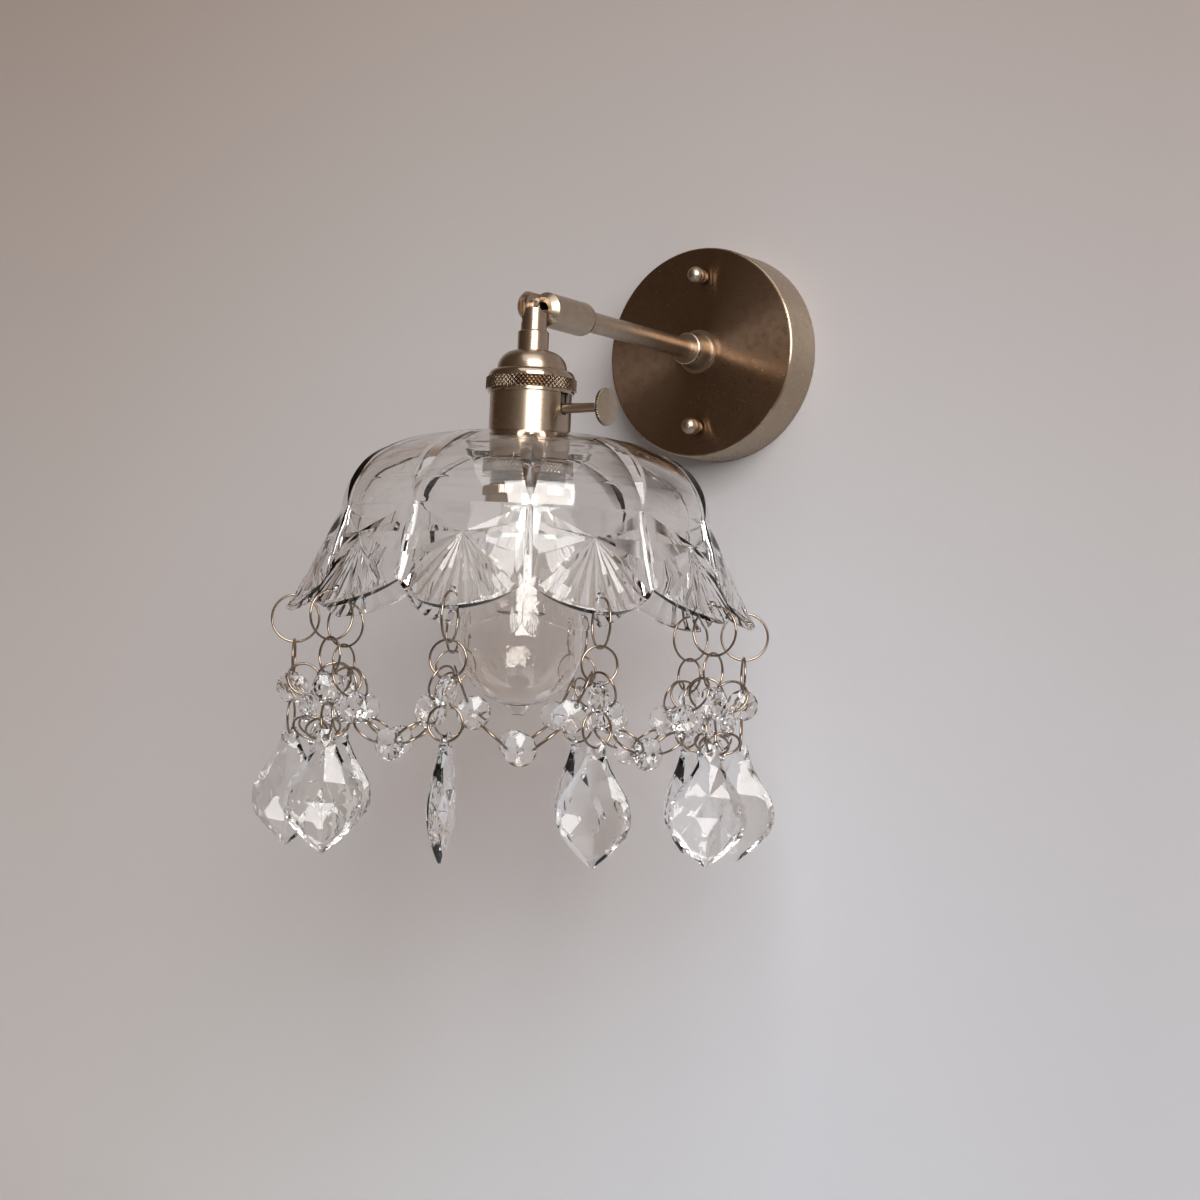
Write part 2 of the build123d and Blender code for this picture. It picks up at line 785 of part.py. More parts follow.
with BuildPart() as dome_profile:
    # Seat, well and dome down to the belt, one wall thick, turned about the axis.
    with BuildSketch(socket_section):
        with BuildLine():
            shoulder_end = (shoulder_radius, glass_seat - shoulder_drop)
            upper_dome = steered_arc(
                (well_radius, glass_seat + well_height), shoulder_end, dome_steer
            )
            lower_dome = steered_arc(shoulder_end, (belt_radius, belt_height), side_steer)
            Polyline(
                (skirt_thread_radius + loose_gap, glass_seat),
                (seat_radius, glass_seat),
                upper_dome @ 0,
            )
            offset(amount=glass_wall, side=Side.RIGHT)
        make_face()
    revolve(axis=socket_axis)

with BuildPart() as rib:
    # A roof-shaped rib that runs down a notch line and fades to a point at the belt.
    stations = (
        (upper_dome, 0.38, 1.0, 1.0),
        (upper_dome, 0.85, 1.0, 1.0),
        (lower_dome, 0.3, 0.9, 1.0),
        (lower_dome, 0.65, 0.6, 0.8),
        (lower_dome, 1.0, 0.08, 0.2),
    )
    for curve, share, width_share, height_share in stations:
        place, run = curve @ share, curve % share
        station = Plane(
            origin=(0, -arm_reach - place.X, place.Y),
            x_dir=(1, 0, 0),
            z_dir=(0, -run.X, run.Y),
        )
        with BuildSketch(station):
            Polygon(
                (-rib_width / 2 * width_share, -glass_wall / 4),
                (rib_width / 2 * width_share, -glass_wall / 4),
                (0, rib_height * height_share),
                align=None,
            )
    loft(ruled=True)

with BuildPart() as glass_shade:
    add(dome_profile.part)
    add(flared_wall(0))
    add(flared_wall(glass_wall), mode=Mode.SUBTRACT)
    for petal in range(petal_count):
        turn = petal * petal_angle
        add(rib.part.rotate(socket_axis, turn))
        add(rim_cutter.part.rotate(socket_axis, turn), mode=Mode.SUBTRACT)
        add(rim_hole.part.rotate(socket_axis, turn + petal_angle / 2), mode=Mode.SUBTRACT)
save(glass_shade.part, "glass_shade")

# ------------------------------------------------------------------------ bulb
with BuildPart() as bulb_cap:
    with BuildSketch(socket_section):
        with BuildLine():
            Polyline(
                (0, bulb_top),
                (contact_radius, bulb_top),
                (bulb_cap_top_radius, bulb_top - bulb_cap_cone_drop),
                (bulb_cap_radius, bulb_top - bulb_cap_shoulder_drop),
                (bulb_cap_radius, bulb_cap_bottom),
                (0, bulb_cap_bottom),
                close=True,
            )
        make_face()
    revolve(axis=socket_axis)
save(bulb_cap.part, "bulb_cap")


def globe_solid(inset):
    """The bulb's envelope as a turned solid, drawn in by the given amount."""
    neck_radius = bulb_neck_radius - inset
    globe_radius = bulb_radius - inset
    tip_radius = bulb_tip_radius - inset
    globe_end = bulb_bottom + bulb_tip_height
    widest = globe_end + math.sqrt(bulb_radius**2 - bulb_tip_radius**2)
    neck_end = bulb_cap_bottom - bulb_neck_radius / 2
    seam = widest - math.sqrt(globe_radius**2 - tip_radius**2)
    diagonal = globe_radius * math.sqrt(0.5)
    with BuildPart() as globe:
        with BuildSketch(socket_section):
            with BuildLine():
                Polyline(
                    (0, bulb_cap_bottom), (neck_radius, bulb_cap_bottom), (neck_radius, neck_end)
                )
                Spline(
                    (neck_radius, neck_end),
                    (globe_radius, widest),
                    tangents=((0, -1), (0, -1)),
                    tangent_scalars=(1.1, 1.5),
                )
                ThreePointArc(
                    (globe_radius, widest), (diagonal, widest - diagonal), (tip_radius, seam)
                )
                Polyline(
                    (tip_radius, seam),
                    (tip_radius / 3, bulb_bottom + inset),
                    (0, bulb_bottom + inset),
                    (0, bulb_cap_bottom),
                )
            make_face()
        revolve(axis=socket_axis)
    return globe.part


with BuildPart() as bulb_globe:
    add(globe_solid(0))
    add(globe_solid(bulb_wall), mode=Mode.SUBTRACT)
save(bulb_globe.part, "bulb_globe")

with BuildPart() as bulb_stem:
    # The glass stem: flared at the cap, a narrow tube with a button at its end.
    stem_end = bulb_cap_bottom - bulb_stem_length
    with BuildSketch(socket_section):
        with BuildLine():
            Polyline(
                (0, bulb_cap_bottom),
                (bulb_neck_radius - 3 * bulb_wall, bulb_cap_bottom),
                (bulb_stem_root_radius, bulb_cap_bottom - bulb_neck_radius),
                (bulb_stem_radius, stem_end + 4 * bulb_stem_radius),
                (bulb_stem_waist_radius, stem_end + 3 * bulb_stem_radius),
                (bulb_stem_waist_radius, stem_end + bulb_stem_radius),
                (bulb_stem_radius, stem_end + bulb_stem_radius / 2),
                (bulb_stem_waist_radius, stem_end),
                (0, stem_end),
                close=True,
            )
        make_face()
    revolve(axis=socket_axis)
save(bulb_stem.part, "bulb_stem")

with BuildPart() as filament:
    # Straight supports spread from the stem's button and carry a ring of filament.
    filament_level = stem_end + bulb_stem_radius / 2
    with BuildSketch(socket_level.offset(filament_level)):
        RegularPolygon(filament_radius, 2 * filament_supports)
        RegularPolygon(
            filament_radius - filament_wire, 2 * filament_supports, mode=Mode.SUBTRACT
        )
    extrude(amount=filament_wire)
    for support in range(filament_supports):
        bearing = 360 / filament_supports * support
        support_plane = Plane(
            origin=(0, -arm_reach, filament_level + filament_wire / 2), z_dir=(1, 0, 0)
        ).rotated((0, 0, bearing))
        with BuildSketch(support_plane.offset(bulb_stem_radius)):
            Rectangle(filament_wire, filament_wire)
        extrude(amount=filament_radius - filament_wire - bulb_stem_radius)
save(filament.part, "filament")

# ------------------------------------------------------- crystal strands
# Each strand is built in front of the socket's axis, at a bearing of zero, and
# turned to its petal. There -Y points outwards and X lies along the rim.
wire = 2 * wire_radius
link_gap = wire + loose_gap  # between the centre lines of two linked wires
bead_slack = bead_hole_radius - wire_radius - thread_gap
strand_radius = petal_sections[-2][2] - wire_radius
hook_height = rim_hole_height - (rim_hole_radius - wire_radius - thread_gap)
hook_centre = hook_height - hook_ring_radius
link_centre = hook_centre - hook_ring_radius - link_ring_radius + link_gap
bead_centre = link_centre - link_ring_radius - bead_slack - bead_hole_place
lower_ring_centre = bead_centre - bead_hole_place - bead_slack - bead_ring_radius
pendant_slack = pendant_hole_radius - wire_radius - pendant_gap
pendant_hole = lower_ring_centre - bead_ring_radius - pendant_slack


def wire_ring(radius):
    """A closed ring of wire about the X axis, with a flat at its top and bottom."""
    with BuildPart() as ring:
        with BuildSketch(Plane.YZ.offset(-wire_radius)):
            turned = 180 / ring_sides
            RegularPolygon(
                radius + wire_radius, ring_sides, major_radius=False, rotation=turned
            )
            RegularPolygon(
                radius - wire_radius,
                ring_sides,
                major_radius=False,
                rotation=turned,
                mode=Mode.SUBTRACT,
            )
        extrude(amount=wire)
    return ring.part


def octagon_bead():
    """An eight-sided faceted bead that faces X, with a hole above and below."""
    with BuildPart() as bead:
        for side in (1, -1):
            girdle_plane = Plane.YZ.offset(side * bead_girdle / 2)
            with BuildSketch(girdle_plane):
                RegularPolygon(bead_radius, 8)
            with BuildSketch(Plane.YZ.offset(side * bead_thickness / 2)):
                RegularPolygon(bead_table_radius, 8)
            loft(ruled=True)
        with BuildSketch(Plane.YZ):
            RegularPolygon(bead_radius, 8)
        extrude(amount=bead_girdle / 2, both=True)
        with BuildSketch(Plane.YZ):
            with Locations((0, bead_hole_place), (0, -bead_hole_place)):
                Circle(bead_hole_radius)
        extrude(amount=bead_thickness / 2, both=True, mode=Mode.SUBTRACT)
    return bead.part


# Half outline of a leaf-shaped drop: shares of the half width and of the length
pendant_outline = (
    (0.13, 0.0),
    (0.24, 0.1),
    (0.48, 0.225),
    (0.76, 0.39),
    (1.0, 0.57),
    (0.93, 0.69),
    (0.75, 0.8),
    (0.43, 0.88),
)


def leaf_face(share):
    """The drop's outline, drawn in towards the middle of its table."""
    half = [
        (width * pendant_width / 2, pendant_hole_drop - length * pendant_length)
        for width, length in pendant_outline
    ]
    tip = [(0.0, pendant_hole_drop - pendant_length)]
    points = half + tip + [(-y, z) for y, z in reversed(half)]
    middle = pendant_hole_drop - pendant_table_drop
    Polygon(*[(y * share, middle + (z - middle) * share) for y, z in points], align=None)


def leaf_pendant():
    """A leaf-shaped faceted drop that faces X, hung from the origin by its hole."""
    with BuildPart() as pendant:
        for side in (1, -1):
            with BuildSketch(Plane.YZ.offset(side * pendant_girdle / 2)):
                leaf_face(1)
            with BuildSketch(Plane.YZ.offset(side * pendant_thickness / 2)):
                leaf_face(pendant_table_share)
            loft(ruled=True)
        with BuildSketch(Plane.YZ):
            leaf_face(1)
        extrude(amount=pendant_girdle / 2, both=True)
        with BuildSketch(Plane.YZ):
            Circle(pendant_hole_radius)
        extrude(amount=pendant_thickness, both=True, mode=Mode.SUBTRACT)
    return pendant.part


def on_strand(index, height, turn):
    """The place on a strand at a height, turned about the vertical by an angle."""
    bearing = petal_angle * (index + 0.5)
    return (
        Pos(0, -arm_reach, 0)
        * Rot(0, 0, bearing)
        * Pos(0, -strand_radius, height)
        * Rot(0, 0, turn)
    )


hook_ring, link_ring = wire_ring(hook_ring_radius), wire_ring(link_ring_radius)
bead_ring, bead, pendant = wire_ring(bead_ring_radius), octagon_bead(), leaf_pendant()
hook_rings, link_rings, centre_beads, pendant_rings = [], [], [], []
for strand in range(petal_count):
    bead_turn, ring_turn, pendant_turn = strand_turns[strand]
    hook_rings.append(on_strand(strand, hook_centre, 0) * hook_ring)
    link_rings.append(on_strand(strand, link_centre, 90) * link_ring)
    centre_beads.append(on_strand(strand, bead_centre, bead_turn) * bead)
    pendant_rings.append(
        on_strand(strand, lower_ring_centre, 90 + ring_turn) * bead_ring
    )
    drop = on_strand(strand, pendant_hole, pendant_turn) * pendant
    save(drop, f"pendant_{strand + 1:02d}")
save(Compound(children=hook_rings), "hook_rings")
save(Compound(children=link_rings), "link_rings")
save(Compound(children=centre_beads), "centre_beads")
save(Compound(children=pendant_rings), "pendant_rings")

# ------------------------------------------------------------------- garlands
# A garland hangs between two neighbouring strands, its beads a little inside the
# line that joins them. From either end to its middle it has a ring, a bead, a ring
# and half of the middle bead.
half_turn = math.radians(petal_angle / 2)
half_span = strand_radius * math.sin(half_turn)
chord_radius = strand_radius * math.cos(half_turn)
hang_angle = math.radians(garland_hang_angle)
side_shift = garland_setback + link_ring_radius * math.sin(hang_angle) * math.sin(half_turn)
ring_sag = bead_ring_radius - math.sqrt(bead_ring_radius**2 - side_shift**2)
hang_length = link_ring_radius - link_gap - ring_sag - loose_gap
ring_reach = bead_ring_radius + bead_slack
bead_pitch = 2 * bead_hole_place
pieces = (  # kind, length along the garland, place of its centre in that length
    ("ring", bead_ring_radius + ring_reach, bead_ring_radius),
    ("bead", bead_pitch, bead_hole_place),
    ("ring", 2 * ring_reach, ring_reach),
)


def catenary_slopes(size):
    """Angles from the level of each piece of half a garland, end piece first."""
    slopes, passed = [], bead_pitch / 2
    for _, length, _ in reversed(pieces):
        slopes.append(math.atan((passed + length / 2) / size))
        passed += length
    return slopes[::-1]


def half_reach(size):
    """How far half a garland reaches sideways for a catenary of this size."""
    reach = sum(
        length * math.cos(slope)
        for (_, length, _), slope in zip(pieces, catenary_slopes(size))
    )
    return hang_length * math.sin(hang_angle) + reach + bead_pitch / 2


low, high = 1.0, 10 * half_span
for _ in range(60):
    middle_size = (low + high) / 2
    if half_reach(middle_size) < half_span:
        low = middle_size
    else:
        high = middle_size

garland_rings, garland_beads = [], []
for strand in range(petal_count):
    frame = (
        Pos(0, -arm_reach, 0)
        * Rot(0, 0, petal_angle * (strand + 1))
        * Pos(0, garland_setback - chord_radius, link_centre)
    )
    for side in (1, -1):
        x = -half_span + hang_length * math.sin(hang_angle)
        z = -hang_length * math.cos(hang_angle)
        for (kind, length, middle), slope in zip(pieces, catenary_slopes(low)):
            centre = (x + middle * math.cos(slope), z - middle * math.sin(slope))
            place = frame * Pos(side * centre[0], 0, centre[1])
            place *= Rot(0, side * (math.degrees(slope) - 90), 0)
            if kind == "bead":
                garland_beads.append(place * Rot(0, 0, 90) * bead)
            else:
                garland_rings.append(place * bead_ring)
            x += length * math.cos(slope)
            z -= length * math.sin(slope)
    garland_beads.append(frame * Pos(0, 0, z) * Rot(0, 90, 0) * Rot(0, 0, 90) * bead)
save(Compound(children=garland_rings), "garland_rings")
save(Compound(children=garland_beads), "garland_beads")
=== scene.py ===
"""Dresses the crystal wall sconce: brushed brass, a pressed-glass shade, a clear bulb
and strands of faceted crystal, in front of a pale wall.

Lengths are in millimetres until a mesh is finished, when it is scaled to metres. The
frame is the model's own: the wall is the plane Y = 0, +Z is up, and +X is to the right
for someone who faces the wall.
"""

import logging
import math
from collections.abc import Callable, Iterator, Sequence
from contextlib import contextmanager
from dataclasses import dataclass, field
from enum import Enum

import bpy
import numpy as np
from mathutils import Matrix, Vector
from mathutils.geometry import delaunay_2d_cdt


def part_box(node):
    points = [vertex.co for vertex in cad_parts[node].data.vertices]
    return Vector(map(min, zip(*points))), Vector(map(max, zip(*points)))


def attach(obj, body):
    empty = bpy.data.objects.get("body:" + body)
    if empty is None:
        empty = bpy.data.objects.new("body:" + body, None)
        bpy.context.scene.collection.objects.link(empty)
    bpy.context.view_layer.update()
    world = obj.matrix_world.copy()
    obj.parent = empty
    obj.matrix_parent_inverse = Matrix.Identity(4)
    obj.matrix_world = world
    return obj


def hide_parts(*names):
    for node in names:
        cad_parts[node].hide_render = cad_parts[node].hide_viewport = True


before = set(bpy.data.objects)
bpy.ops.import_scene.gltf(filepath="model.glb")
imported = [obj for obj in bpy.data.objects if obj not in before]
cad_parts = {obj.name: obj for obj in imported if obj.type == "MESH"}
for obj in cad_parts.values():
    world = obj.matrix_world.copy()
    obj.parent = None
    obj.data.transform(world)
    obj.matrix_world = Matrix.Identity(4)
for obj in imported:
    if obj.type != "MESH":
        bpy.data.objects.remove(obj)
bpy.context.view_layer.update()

log = logging.getLogger("sconce")

MM = 0.001
# Painted shade darkens turned grooves by their depth, fully at this depth.
GROOVE_SHADE_DEPTH = 0.7  # millimetres; a groove this deep is dark all over
LAMPHOLDER, KEY = "lampholder", "switch_key"  # bodies of the frame
ARM_REACH = 192.0  # from the wall to the socket's axis, in millimetres
AT_SOCKET = Matrix.Translation((0, -ARM_REACH, 0))

Place = tuple[float, float, float]
Colour = tuple[float, float, float]
Value = float | bpy.types.NodeSocket
Paint = Colour | bpy.types.NodeSocket


# ------------------------------------------------------------------- materials
class Grain(Enum):
    """The way that fine tool marks run on a metal surface."""

    TURNED_ABOUT_Z = "rings round the upright axis"
    TURNED_ABOUT_Y = "rings round the arm's axis"
    SATIN = "no direction"


class Graph:
    """A node tree, with short calls to add nodes and join them."""

    def __init__(self, owner: bpy.types.Material | bpy.types.World) -> None:
        """Empties the owner's tree.

        Args:
            owner: The material or world.
        """
        owner.use_nodes = True
        self.owner, self.tree = owner, owner.node_tree
        self.tree.nodes.clear()

    def add(self, kind: str, options: dict | None = None, **sockets: object) -> bpy.types.Node:
        """Adds a node.

        Args:
            kind: The node's type.
            options: Values of the node's own settings.
            **sockets: Values or outputs for its inputs, with _ for a space, or in0, in1
                and so on for an input by its number.

        Returns:
            The new node.
        """
        node = self.tree.nodes.new(kind)
        for key, value in (options or {}).items():
            setattr(node, key, value)
        for key, value in sockets.items():
            numbered = key.startswith("in") and key[2:].isdigit()
            socket = node.inputs[int(key[2:])] if numbered else node.inputs[key.replace("_", " ")]
            if isinstance(value, bpy.types.NodeSocket):
                self.tree.links.new(value, socket)
            else:
                socket.default_value = value
        return node

    def coordinates(self, scale: Place = (1, 1, 1), shift: Place = (0, 0, 0)) -> bpy.types.NodeSocket:
        """Object coordinates through a mapping.

        Args:
            scale: The mapping's scale on each axis.
            shift: The mapping's move on each axis, before the scale.

        Returns:
            The mapped vector.
        """
        source = self.add("ShaderNodeTexCoord").outputs["Object"]
        moved = self.add("ShaderNodeMapping", Vector=source, Location=shift)
        return self.add("ShaderNodeMapping", Vector=moved.outputs[0], Scale=scale).outputs[0]

    def noise(self, scale: float, detail: float) -> bpy.types.NodeSocket:
        """Noise over the object.

        Args:
            scale: Waves in a metre.
            detail: How many finer layers it has.

        Returns:
            A value about 0.5.
        """
        return self.add("ShaderNodeTexNoise", Vector=self.coordinates((scale,) * 3), Detail=detail).outputs[0]

    def sum(self, operation: str, first: Value, second: Value) -> bpy.types.NodeSocket:
        """One step of arithmetic.

        Args:
            operation: The Math node's operation.
            first: Its first value.
            second: Its second value.

        Returns:
            The result.
        """
        return self.add("ShaderNodeMath", {"operation": operation}, in0=first, in1=second).outputs[0]

    def span(
        self, value: Value, start: float, end: float, low: float = 0.0, high: float = 1.0
    ) -> bpy.types.NodeSocket:
        """A value carried from one range to another and held at its ends.

        Args:
            value: The value.
            start: What becomes low.
            end: What becomes high.
            low: The result at start.
            high: The result at end.

        Returns:
            The result.
        """
        ends = {"From_Min": start, "From_Max": end, "To_Min": low, "To_Max": high}
        return self.add("ShaderNodeMapRange", Value=value, **ends).outputs[0]

    def blend(self, share: Value, first: Paint, second: Paint, way: str = "MIX") -> bpy.types.NodeSocket:
        """A mix of two colours.

        Args:
            share: How much of the second there is.
            first: The first colour.
            second: The second colour.
            way: The Mix node's way of blending.

        Returns:
            The mixed colour.
        """
        first, second = (
            colour if isinstance(colour, bpy.types.NodeSocket) else (*colour, 1) for colour in (first, second)
        )
        options = {"data_type": "RGBA", "blend_type": way}
        return self.add("ShaderNodeMix", options, in0=share, in6=first, in7=second).outputs["Result"]

    def ramp(self, share: Value, stops: Sequence[tuple[float, Colour]]) -> bpy.types.NodeSocket:
        """A colour from a row of stops.

        Args:
            share: Place in the row, from 0 to 1.
            stops: Place and colour of each stop.

        Returns:
            The colour.
        """
        node = self.add("ShaderNodeValToRGB", Fac=share)
        elements = node.color_ramp.elements
        while len(elements) < len(stops):
            elements.new(0.5)
        for element, (place, colour) in zip(elements, stops):
            element.position, element.color = place, (*colour, 1)
        return node.outputs[0]

    def bump(self, height: Value, strength: float, distance: float) -> bpy.types.NodeSocket:
        """Turns the surface's direction by a height.

        Args:
            height: The height, from 0 to 1.
            strength: How strong the bump is.
            distance: The height's full reach, in metres.

        Returns:
            The direction.
        """
        return self.add("ShaderNodeBump", Height=height, Strength=strength, Distance=distance).outputs[0]

    def close(self, shader: bpy.types.NodeSocket) -> bpy.types.Material | bpy.types.World:
        """Joins the last shader to the output.

        Args:
            shader: The shader to show.

        Returns:
            The finished material or world.
        """
        kind = "World" if isinstance(self.owner, bpy.types.World) else "Material"
        self.add(f"ShaderNodeOutput{kind}", Surface=shader)
        return self.owner


@dataclass(frozen=True)
class BrushedBrass:
    """Satin brass with fine tool marks and faint stains, painted shade in its grooves and, on the plate, a
    paler rim of painted light.

    Attributes:
        name: The material's name.
        bright: Colour of the clean metal.
        dull: Colour of its stains.
        roughness: Least and greatest roughness.
        grain: The way that the tool marks run.
        mark: Distance between tool marks, in millimetres.
        depth: Strength of the tool marks.
        line: Brightness of the darkest marks.
        centre: A point on the axis that the marks run round, in metres.
        anisotropy: How far highlights stretch across the marks.
        painted_rim_radius: Distance from the Y axis where the rim's painted light starts, in metres.
        band: Colour of the rim's painted light, paler than the face.
        groove_shade: Colour of the painted shade in knurl, thread and milling grooves.
        wander: How far the marks stray from true rings, in metres.
    """

    name: str
    bright: Colour
    dull: Colour
    roughness: tuple[float, float]
    grain: Grain
    mark: float = 0.25
    depth: float = 0.12
    line: float = 0.9
    centre: Place = (0.0, 0.0, 0.0)
    anisotropy: float = 0.5
    painted_rim_radius: float = 0.0
    band: Colour = (1.0, 1.0, 1.0)
    groove_shade: Colour = (0.10, 0.06, 0.035)
    wander: float = 0.00004

    def marks(self, graph: Graph) -> bpy.types.NodeSocket:
        """Height of the tool marks.

        Args:
            graph: The material's node tree.

        Returns:
            A value from 0 to 1.
        """
        if self.grain is Grain.SATIN:
            return graph.noise(900, 1.0)
        axis, across = ("Y", (1, 0, 1)) if self.grain is Grain.TURNED_ABOUT_Y else ("Z", (1, 1, 0))
        flat = graph.coordinates(across, tuple(-value for value in self.centre))
        reach = graph.add("ShaderNodeVectorMath", {"operation": "LENGTH"}, in0=flat).outputs["Value"]
        along = graph.add("ShaderNodeSeparateXYZ", Vector=graph.coordinates()).outputs[axis]
        drift = graph.sum("MULTIPLY", graph.noise(90, 2.0), self.wander)
        place = graph.sum("ADD", graph.sum("ADD", reach, along), drift)
        place = graph.sum("MULTIPLY", place, 1 / (self.mark * MM))
        return graph.add("ShaderNodeTexNoise", {"noise_dimensions": "1D"}, W=place, Detail=3.0).outputs[0]

    def build(self) -> bpy.types.Material:
        """Makes the material.

        Returns:
            The finished material.
        """
        graph = Graph(bpy.data.materials.new(self.name))
        stain = graph.noise(45, 3.0)
        base = graph.blend(graph.span(stain, 0.3, 0.8), self.bright, self.dull)
        # Painted light: the plate's rim gets a paler colour than its face.
        if self.painted_rim_radius:
            flat = graph.coordinates((1, 0, 1))
            reach = graph.add("ShaderNodeVectorMath", {"operation": "LENGTH"}, in0=flat).outputs["Value"]
            side = graph.span(reach, self.painted_rim_radius - 0.2 * MM, self.painted_rim_radius)
            base = graph.blend(side, base, self.band)
        marks = self.marks(graph)
        base = graph.blend(1.0, base, graph.span(marks, 0.3, 0.7, self.line, 1.0), "MULTIPLY")
        # Painted shade in the grooves, by the depth that each corner was given.
        groove_shade = graph.add("ShaderNodeAttribute", {"attribute_name": "groove_shade"})
        metal = graph.add(
            "ShaderNodeBsdfPrincipled",
            Base_Color=graph.blend(groove_shade.outputs["Fac"], base, self.groove_shade),
            Metallic=1.0,
            Roughness=graph.span(stain, 0.3, 0.7, *self.roughness),
            Normal=graph.bump(marks, self.depth, 0.02 * MM),
        )
        if self.grain in (Grain.TURNED_ABOUT_Z, Grain.TURNED_ABOUT_Y):
            axis = "Z" if self.grain is Grain.TURNED_ABOUT_Z else "Y"
            tangent = graph.add("ShaderNodeTangent", {"direction_type": "RADIAL", "axis": axis})
            metal.inputs["Anisotropic"].default_value = self.anisotropy
            metal.inputs["Anisotropic Rotation"].default_value = 0.25
            graph.tree.links.new(tangent.outputs[0], metal.inputs["Tangent"])
        return graph.close(metal.outputs[0])


@dataclass(frozen=True)
class ClearGlass:
    """Clear glass or crystal. Its shadow is light, as the shadow of clear glass is.

    Attributes:
        name: The material's name.
        tint: Colour of light that has come through it.
        shade: Colour of its shadow.
        index: Refractive index.
        ripple: Strength of the surface's slow waves.
        ripple_size: Distance between waves, in millimetres.
    """

    name: str
    tint: Colour
    shade: Colour
    index: float
    ripple: float = 0.0
    ripple_size: float = 12.0

    def build(self) -> bpy.types.Material:
        """Makes the material.

        Returns:
            The finished material.
        """
        graph = Graph(bpy.data.materials.new(self.name))
        swell = graph.noise(1000 / self.ripple_size, 1.0)
        glass = graph.add(
            "ShaderNodeBsdfPrincipled",
            Base_Color=(*self.tint, 1),
            Roughness=0.0,
            IOR=self.index,
            Transmission_Weight=1.0,
            Normal=graph.bump(swell, self.ripple, MM),
        )
        open_way = graph.add("ShaderNodeBsdfTransparent", Color=(*self.shade, 1))
        rays = graph.add("ShaderNodeLightPath")
        mix = graph.add(
            "ShaderNodeMixShader",
            in0=rays.outputs["Is Shadow Ray"],
            in1=glass.outputs[0],
            in2=open_way.outputs[0],
        )
        return graph.close(mix.outputs[0])


@dataclass(frozen=True)
class PlainFinish:
    """A plain finish with a slight mottle, for phenolic, zinc and glowing wire.

    Attributes:
        name: The material's name.
        colour: Its colour.
        roughness: Its roughness.
        metallic: 1 for a metal.
        mottle: How much darker its darker spots are.
    """

    name: str
    colour: Colour
    roughness: float
    metallic: float = 0.0
    mottle: float = 0.15

    def build(self) -> bpy.types.Material:
        """Makes the material.

        Returns:
            The finished material.
        """
        graph = Graph(bpy.data.materials.new(self.name))
        spots = graph.noise(180, 4.0)
        darker = tuple(value * (1 - self.mottle) for value in self.colour)
        finish = graph.add(
            "ShaderNodeBsdfPrincipled",
            Base_Color=graph.blend(spots, darker, self.colour),
            Metallic=self.metallic,
            Roughness=self.roughness,
            Normal=graph.bump(spots, 0.05, 0.2 * MM),
        )
        return graph.close(finish.outputs[0])


SOCKET_AXIS = (0.0, -ARM_REACH * MM, 0.0)
BRIGHT_BRASS, DULL_BRASS = (0.45, 0.37, 0.29), (0.37, 0.30, 0.23)


class Finish(Enum):
    """Every finish on the sconce."""

    # The plate's brass is darker than the rest: painted shade for the dark room that its face reflects.
    PLATE_FACE = BrushedBrass(
        "plate_face", (0.28, 0.19, 0.13), (0.24, 0.16, 0.11), (0.26, 0.32), Grain.TURNED_ABOUT_Y,
        mark=0.5, depth=0.06, line=0.72, anisotropy=0.93, painted_rim_radius=0.0592, band=(0.47, 0.375, 0.28),
    )
    TURNED = BrushedBrass(
        "turned_brass", BRIGHT_BRASS, DULL_BRASS, (0.27, 0.31), Grain.TURNED_ABOUT_Z,
        depth=0.03, centre=SOCKET_AXIS, anisotropy=0.6,
    )
    ARM = BrushedBrass("arm_brass", BRIGHT_BRASS, DULL_BRASS, (0.28, 0.34), Grain.SATIN, depth=0.004)
    KNURLED = BrushedBrass("knurled_brass", BRIGHT_BRASS, DULL_BRASS, (0.12, 0.16), Grain.SATIN, depth=0.008)
    WIRE = BrushedBrass(
        "wire_brass", (0.33, 0.265, 0.21), (0.26, 0.20, 0.155), (0.12, 0.16), Grain.SATIN, depth=0.004,
    )
    SHADE_GLASS = ClearGlass("pressed_glass", (0.985, 0.975, 0.965), (0.64, 0.57, 0.51), 1.5, ripple=0.004)
    BULB_GLASS = ClearGlass("bulb_glass", (0.95, 0.925, 0.90), (0.88, 0.86, 0.84), 1.5)
    STEM_GLASS = ClearGlass("stem_glass", (0.99, 0.985, 0.98), (0.95, 0.94, 0.93), 1.5)
    CRYSTAL = ClearGlass("cut_crystal", (0.99, 0.985, 0.98), (0.64, 0.59, 0.55), 1.53)
    PHENOLIC = PlainFinish("phenolic", (0.022, 0.014, 0.011), 0.3)
    ZINC = PlainFinish("zinc_steel", (0.5, 0.48, 0.46), 0.38, metallic=1.0)
    FILAMENT = PlainFinish("filament_wire", (0.18, 0.12, 0.08), 0.5, metallic=1.0)


class Palette:
    """The materials, each made once."""

    def __init__(self) -> None:
        """Makes every material of Finish."""
        self.made = {finish: finish.value.build() for finish in Finish}

    def dress(self, piece: bpy.types.Object, finish: Finish) -> None:
        """Gives a piece its material.

        Args:
            piece: The piece.
            finish: Its finish.
        """
        slots = piece.data.materials
        slots.clear()
        slots.append(self.made[finish])

    def stand_in(self, piece: bpy.types.Object, node: str, finish: Finish, body: str) -> None:
        """Puts a piece in a CAD node's place.

        Args:
            piece: The piece.
            node: The CAD node that it stands for.
            finish: Its finish.
            body: The body that it rides on.
        """
        self.dress(piece, finish)
        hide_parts(node)
        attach(piece, body)
        log.info("%s replaces %s", piece.name, node)

    def dress_nodes(self, finish: Finish, *names: str) -> None:
        """Gives CAD nodes their material.

        Args:
            finish: The finish.
            *names: The nodes' names.
        """
        for name in names:
            self.dress(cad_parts[name], finish)
            log.info("%s is finished as %s", name, finish.name.lower())


